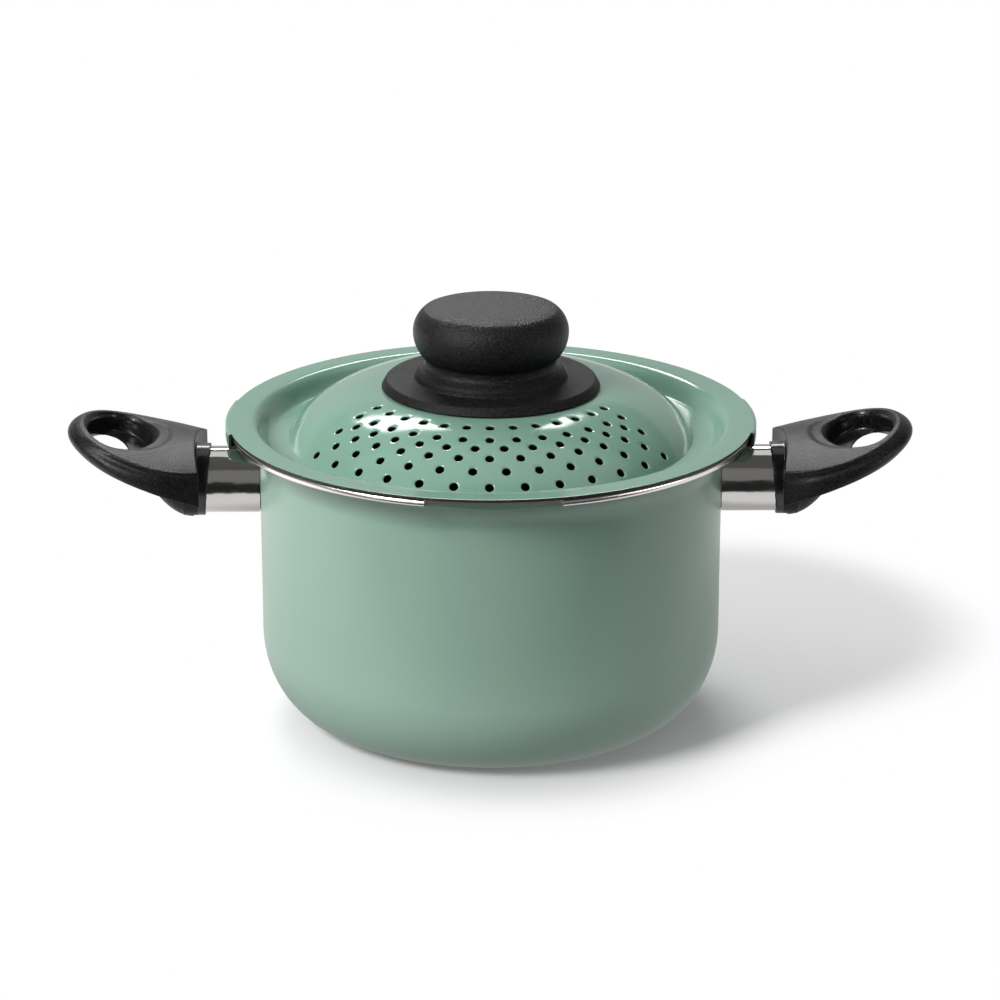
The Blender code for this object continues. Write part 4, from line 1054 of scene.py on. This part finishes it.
socket_size = (GUARD_HALF_WIDTH + SHEET_GAP, GUARD_HALF_HEIGHT + SHEET_GAP)
socket_ring = [oval_point(turn, *socket_size) for turn in turns]
socket_ends = (NOSE_TOP_START - TOOL_OVERRUN, GUARD_END + SHEET_GAP)
socket = extruded_rings("socket", [[(end, *point) for point in socket_ring] for end in socket_ends])
tunnel = x_cylinder("tunnel", TUNNEL_RADIUS, NOSE_TOP_START, RIB_END)
counterbore = x_cylinder("counterbore", COUNTERBORE_RADIUS, COUNTERBORE_START, RIB_END + TOOL_OVERRUN)
cut(grip, nose, "UNION")
cut(grip, rib, "UNION")
for tool in (finger_hole, socket, tunnel, counterbore):
    cut(grip, tool)
melt = grip.modifiers.new("Melt", "REMESH")
melt.mode = "VOXEL"
melt.voxel_size = 0.00048
soften = grip.modifiers.new("Soften", "SMOOTH")
soften.factor = 0.5
soften.iterations = 5
settle(grip, [nose, rib, finger_hole, socket, tunnel, counterbore])
print("grip faces:", len(grip.data.polygons))

# %% Polish the collar and the finger hole, and make the left grip
def is_polished(face):
    """Tell whether a face is on the collar round the guard or on the finger hole's wall."""
    x, y, z = face.center
    across = abs(y) < POLISHED_HALF_WIDTH and abs(z - HANDLE_HEIGHT) < POLISHED_HALF_HEIGHT
    out = math.hypot((x - HOLE_CENTRE) / HOLE_HALF_LENGTH, y / HOLE_HALF_WIDTH)
    return (x < POLISHED_END and across) or (out < POLISHED_RIM and face.normal.z < 0.5)


for face in grip.data.polygons:
    face.material_index = int(is_polished(face))
grip_left = other_side(grip, "loop_grip_left")
finish_piece(grip, "grip_right", [sparked_bakelite, glossy_bakelite], sharp=180)
finish_piece(grip_left, "grip_left", [sparked_bakelite, glossy_bakelite], sharp=180)

# %% [markdown]
# ## The fixings
# Studs, screws, washers and the insert keep their CAD shapes, because each is a plain turned part that
# hardly shows. They get their metals here.

# %% Finish the fixings
for node, part in frame["nodes"].items():
    if part.hide_render:
        continue
    metal = brass if node == "knob_insert" else zinc
    part.data.materials.clear()
    part.data.materials.append(metal)
    print(node, "is", metal.name)

# %% [markdown]
# ## The table and the light
# The pot stands near the front edge of a white table, in a dim room with a dark floor and a grey far
# wall. A softbox at the upper left gives the soft shadow, a big one overhead lights all that lies flat,
# and weak panels at the left and the right lift the sides. A bright strip behind gives the white streaks
# on the lid. What the pot mirrors of the table is a plain glow with painted light on it: a painted pool of
# light at the left, where the lamp stands, and painted shadow where the shadow lies. For the camera the
# lamps light the table, with painted shade round the pot's base, and a painted white fade runs it out into
# white past the shadow and lightens the shadow a little.

# %% Lay the table
TABLE_FRONT = -0.19
TABLE_SIDE = 4.0

table_bm = bmesh.new()
bmesh.ops.create_grid(table_bm, x_segments=1, y_segments=1, size=TABLE_SIDE)
for vertex in table_bm.verts:
    vertex.co.y += TABLE_SIDE + TABLE_FRONT
table = loose_object("table", table_bm)
print("front edge of the table at", round(1000 * TABLE_FRONT), "mm")

# %% Find the shadow's place on the table
def empty_tree(owner):
    """Turn the nodes of a material or world on and clear them away."""
    owner.use_nodes = True
    owner.node_tree.nodes.clear()
    return owner.node_tree


SHADOW_REACH = 0.138
SHADOW_TURN = math.radians(43)
# centre of the painted shade round the pot's base
PAINTED_SHADE_CENTRE = (0.02, -0.025, 0)
paper = bpy.data.materials.new("white_table")
tree = empty_tree(paper)
place = add_node(tree, "ShaderNodeTexCoord").outputs["Object"]
# the shadow lies round a line that runs away from the lamp; painted white light rises with the distance
# from it, and a little of it lies on the shadow's core too
along_shadow = (math.cos(SHADOW_TURN), math.sin(SHADOW_TURN), 0)
reach = add_node(
    tree,
    "ShaderNodeVectorMath",
    {"operation": "DOT_PRODUCT"},
    {1: along_shadow},
    {0: place},
)
held = add_node(
    tree,
    "ShaderNodeMapRange",
    values={"From Max": SHADOW_REACH, "To Max": SHADOW_REACH},
    links={"Value": reach.outputs["Value"]},
)
spine = add_node(
    tree,
    "ShaderNodeVectorMath",
    {"operation": "SCALE"},
    {0: along_shadow},
    {"Scale": held.outputs["Result"]},
)
away = add_node(
    tree, "ShaderNodeVectorMath", {"operation": "DISTANCE"}, links={0: place, 1: spine.outputs["Vector"]}
)
# painted white light over the table: a share of 0.12 in the shadow's core, all of it past the shadow
painted_light_fade = add_node(
    tree,
    "ShaderNodeMapRange",
    {"interpolation_type": "SMOOTHSTEP"},
    {"From Min": 0.095, "From Max": 0.152, "To Min": 0.12},
    {"Value": away.outputs["Value"]},
)
print("shadow reaches", round(1000 * SHADOW_REACH), "mm past the pot's axis")

# %% Light the table that the pot mirrors
path = add_node(tree, "ShaderNodeLightPath")
side = add_node(tree, "ShaderNodeSeparateXYZ", links={0: place})
# painted light: the table that the pot mirrors glows, brighter at the left as a painted pool of light
painted_light_pool = add_node(
    tree,
    "ShaderNodeMapRange",
    {"interpolation_type": "SMOOTHSTEP"},
    {"From Min": -0.14, "From Max": -0.36, "To Min": 0.9, "To Max": 1.4},
    {"Value": side.outputs["X"]},
)
# and dimmer where the shadow lies, as a painted shadow in what the pot mirrors
painted_shadow_share = add_node(
    tree, "ShaderNodeMath", {"operation": "MULTIPLY_ADD"}, {1: 0.45, 2: 0.55}, {0: painted_light_fade.outputs["Result"]}
)
mirror_light = add_node(
    tree,
    "ShaderNodeMath",
    {"operation": "MULTIPLY"},
    links={0: painted_light_pool.outputs["Result"], 1: painted_shadow_share.outputs[0]},
)
mirrored = add_node(tree, "ShaderNodeEmission", links={"Strength": mirror_light.outputs[0]})
matt = add_node(tree, "ShaderNodeBsdfDiffuse", values={"Color": colour("a0a0a0")})
lit = add_node(
    tree,
    "ShaderNodeMixShader",
    links={0: path.outputs["Is Glossy Ray"], 1: matt.outputs[0], 2: mirrored.outputs[0]},
)
print("nodes so far:", len(tree.nodes))

# %% Shade the table that the camera sees
# painted shade: for the camera the table is drawn darker round the pot's base
from_pot = add_node(tree, "ShaderNodeVectorMath", {"operation": "DISTANCE"}, {1: PAINTED_SHADE_CENTRE}, {0: place})
painted_shade_round_base = add_node(
    tree,
    "ShaderNodeMapRange",
    {"interpolation_type": "SMOOTHSTEP"},
    {"From Min": 0.065, "From Max": 0.12, "To Min": 0.66, "To Max": 0.88},
    {"Value": from_pot.outputs["Value"]},
)
seen_lit = add_node(tree, "ShaderNodeBsdfDiffuse", links={"Color": painted_shade_round_base.outputs["Result"]})
glow = add_node(tree, "ShaderNodeEmission", values={"Color": (1, 1, 1, 1), "Strength": 1.0})
seen = add_node(
    tree,
    "ShaderNodeMixShader",
    links={0: painted_light_fade.outputs["Result"], 1: seen_lit.outputs[0], 2: glow.outputs[0]},
)
either = add_node(
    tree,
    "ShaderNodeMixShader",
    links={0: path.outputs["Is Camera Ray"], 1: lit.outputs[0], 2: seen.outputs[0]},
)
add_node(tree, "ShaderNodeOutputMaterial", links={"Surface": either.outputs[0]})
table.data.materials.append(paper)
print("table material:", paper.name)

# %% Hang the backdrop, lay the dark floor and put up the room's far wall
def screen(name, place, half_size, strength):
    """Flat screen with its own weak light, which is white for the camera."""
    bm = bmesh.new()
    spread = Matrix.Diagonal((*half_size, 1, 1))
    bmesh.ops.create_grid(bm, x_segments=1, y_segments=1, size=1, matrix=place @ spread)
    piece = loose_object(name, bm)
    material = bpy.data.materials.new(name)
    tree = empty_tree(material)
    path = add_node(tree, "ShaderNodeLightPath").outputs["Is Camera Ray"]
    levels = {"To Min": strength, "To Max": 1.0}
    level = add_node(tree, "ShaderNodeMapRange", values=levels, links={"Value": path})
    shine = add_node(tree, "ShaderNodeEmission", links={"Strength": level.outputs["Result"]})
    add_node(tree, "ShaderNodeOutputMaterial", links={"Surface": shine.outputs[0]})
    piece.data.materials.append(material)
    print("screen", name, "at strength", strength)


upright = Matrix.Rotation(math.pi / 2, 4, "X")
screen("white_backdrop", Matrix.Translation((0, 1.5, 0.42)) @ upright, (2, 0.42), 0.49)
screen("dark_floor", Matrix.Translation((0, -1.75, -0.75)), (3, 1.5), 0.02)
screen("far_wall", Matrix.Translation((0, -3.2, -0.03)) @ upright, (3, 0.75), 0.22)

# %% Hang the lights
AIM = Vector((0, 0, 0.12))


def softbox(name, azimuth, elevation, distance, width, height, power):
    """Rectangular lamp that faces the pot, at an azimuth from the camera's side, positive to the right."""
    lamp = bpy.data.lights.new(name, "AREA")
    lamp.shape = "RECTANGLE"
    lamp.size = width
    lamp.size_y = height
    lamp.energy = power
    box = bpy.data.objects.new(name, lamp)
    scene.collection.objects.link(box)
    side, up = math.radians(azimuth), math.radians(elevation)
    toward = Vector((math.sin(side) * math.cos(up), -math.cos(side) * math.cos(up), math.sin(up)))
    box.location = AIM + toward * distance
    box.rotation_euler = toward.to_track_quat("Z", "Y").to_euler()


softbox("key_softbox", -51.5, 36, 1.75, 0.65, 0.65, 34)
softbox("left_panel", -38, 0, 1.6, 0.8, 0.5, 3.6)
softbox("overhead_softbox", 0, 89, 1.3, 3.0, 1.0, 7)
softbox("right_panel", 70, 8, 1.5, 0.8, 0.6, 4.5)
softbox("back_strip", -172, 42, 1.8, 1.1, 0.42, 19)
print("lights:", [item.name for item in bpy.data.lights])

# %% Set the world
world = bpy.data.worlds.new("dim_studio")
scene.world = world
tree = empty_tree(world)
path = add_node(tree, "ShaderNodeLightPath")
dim = add_node(tree, "ShaderNodeBackground", values={"Color": colour("ffffff"), "Strength": 0.1})
white = add_node(tree, "ShaderNodeBackground", values={"Color": (1, 1, 1, 1), "Strength": 1.0})
either = add_node(
    tree,
    "ShaderNodeMixShader",
    links={0: path.outputs["Is Camera Ray"], 1: dim.outputs[0], 2: white.outputs[0]},
)
add_node(tree, "ShaderNodeOutputWorld", links={"Surface": either.outputs[0]})
print("world:", world.name)
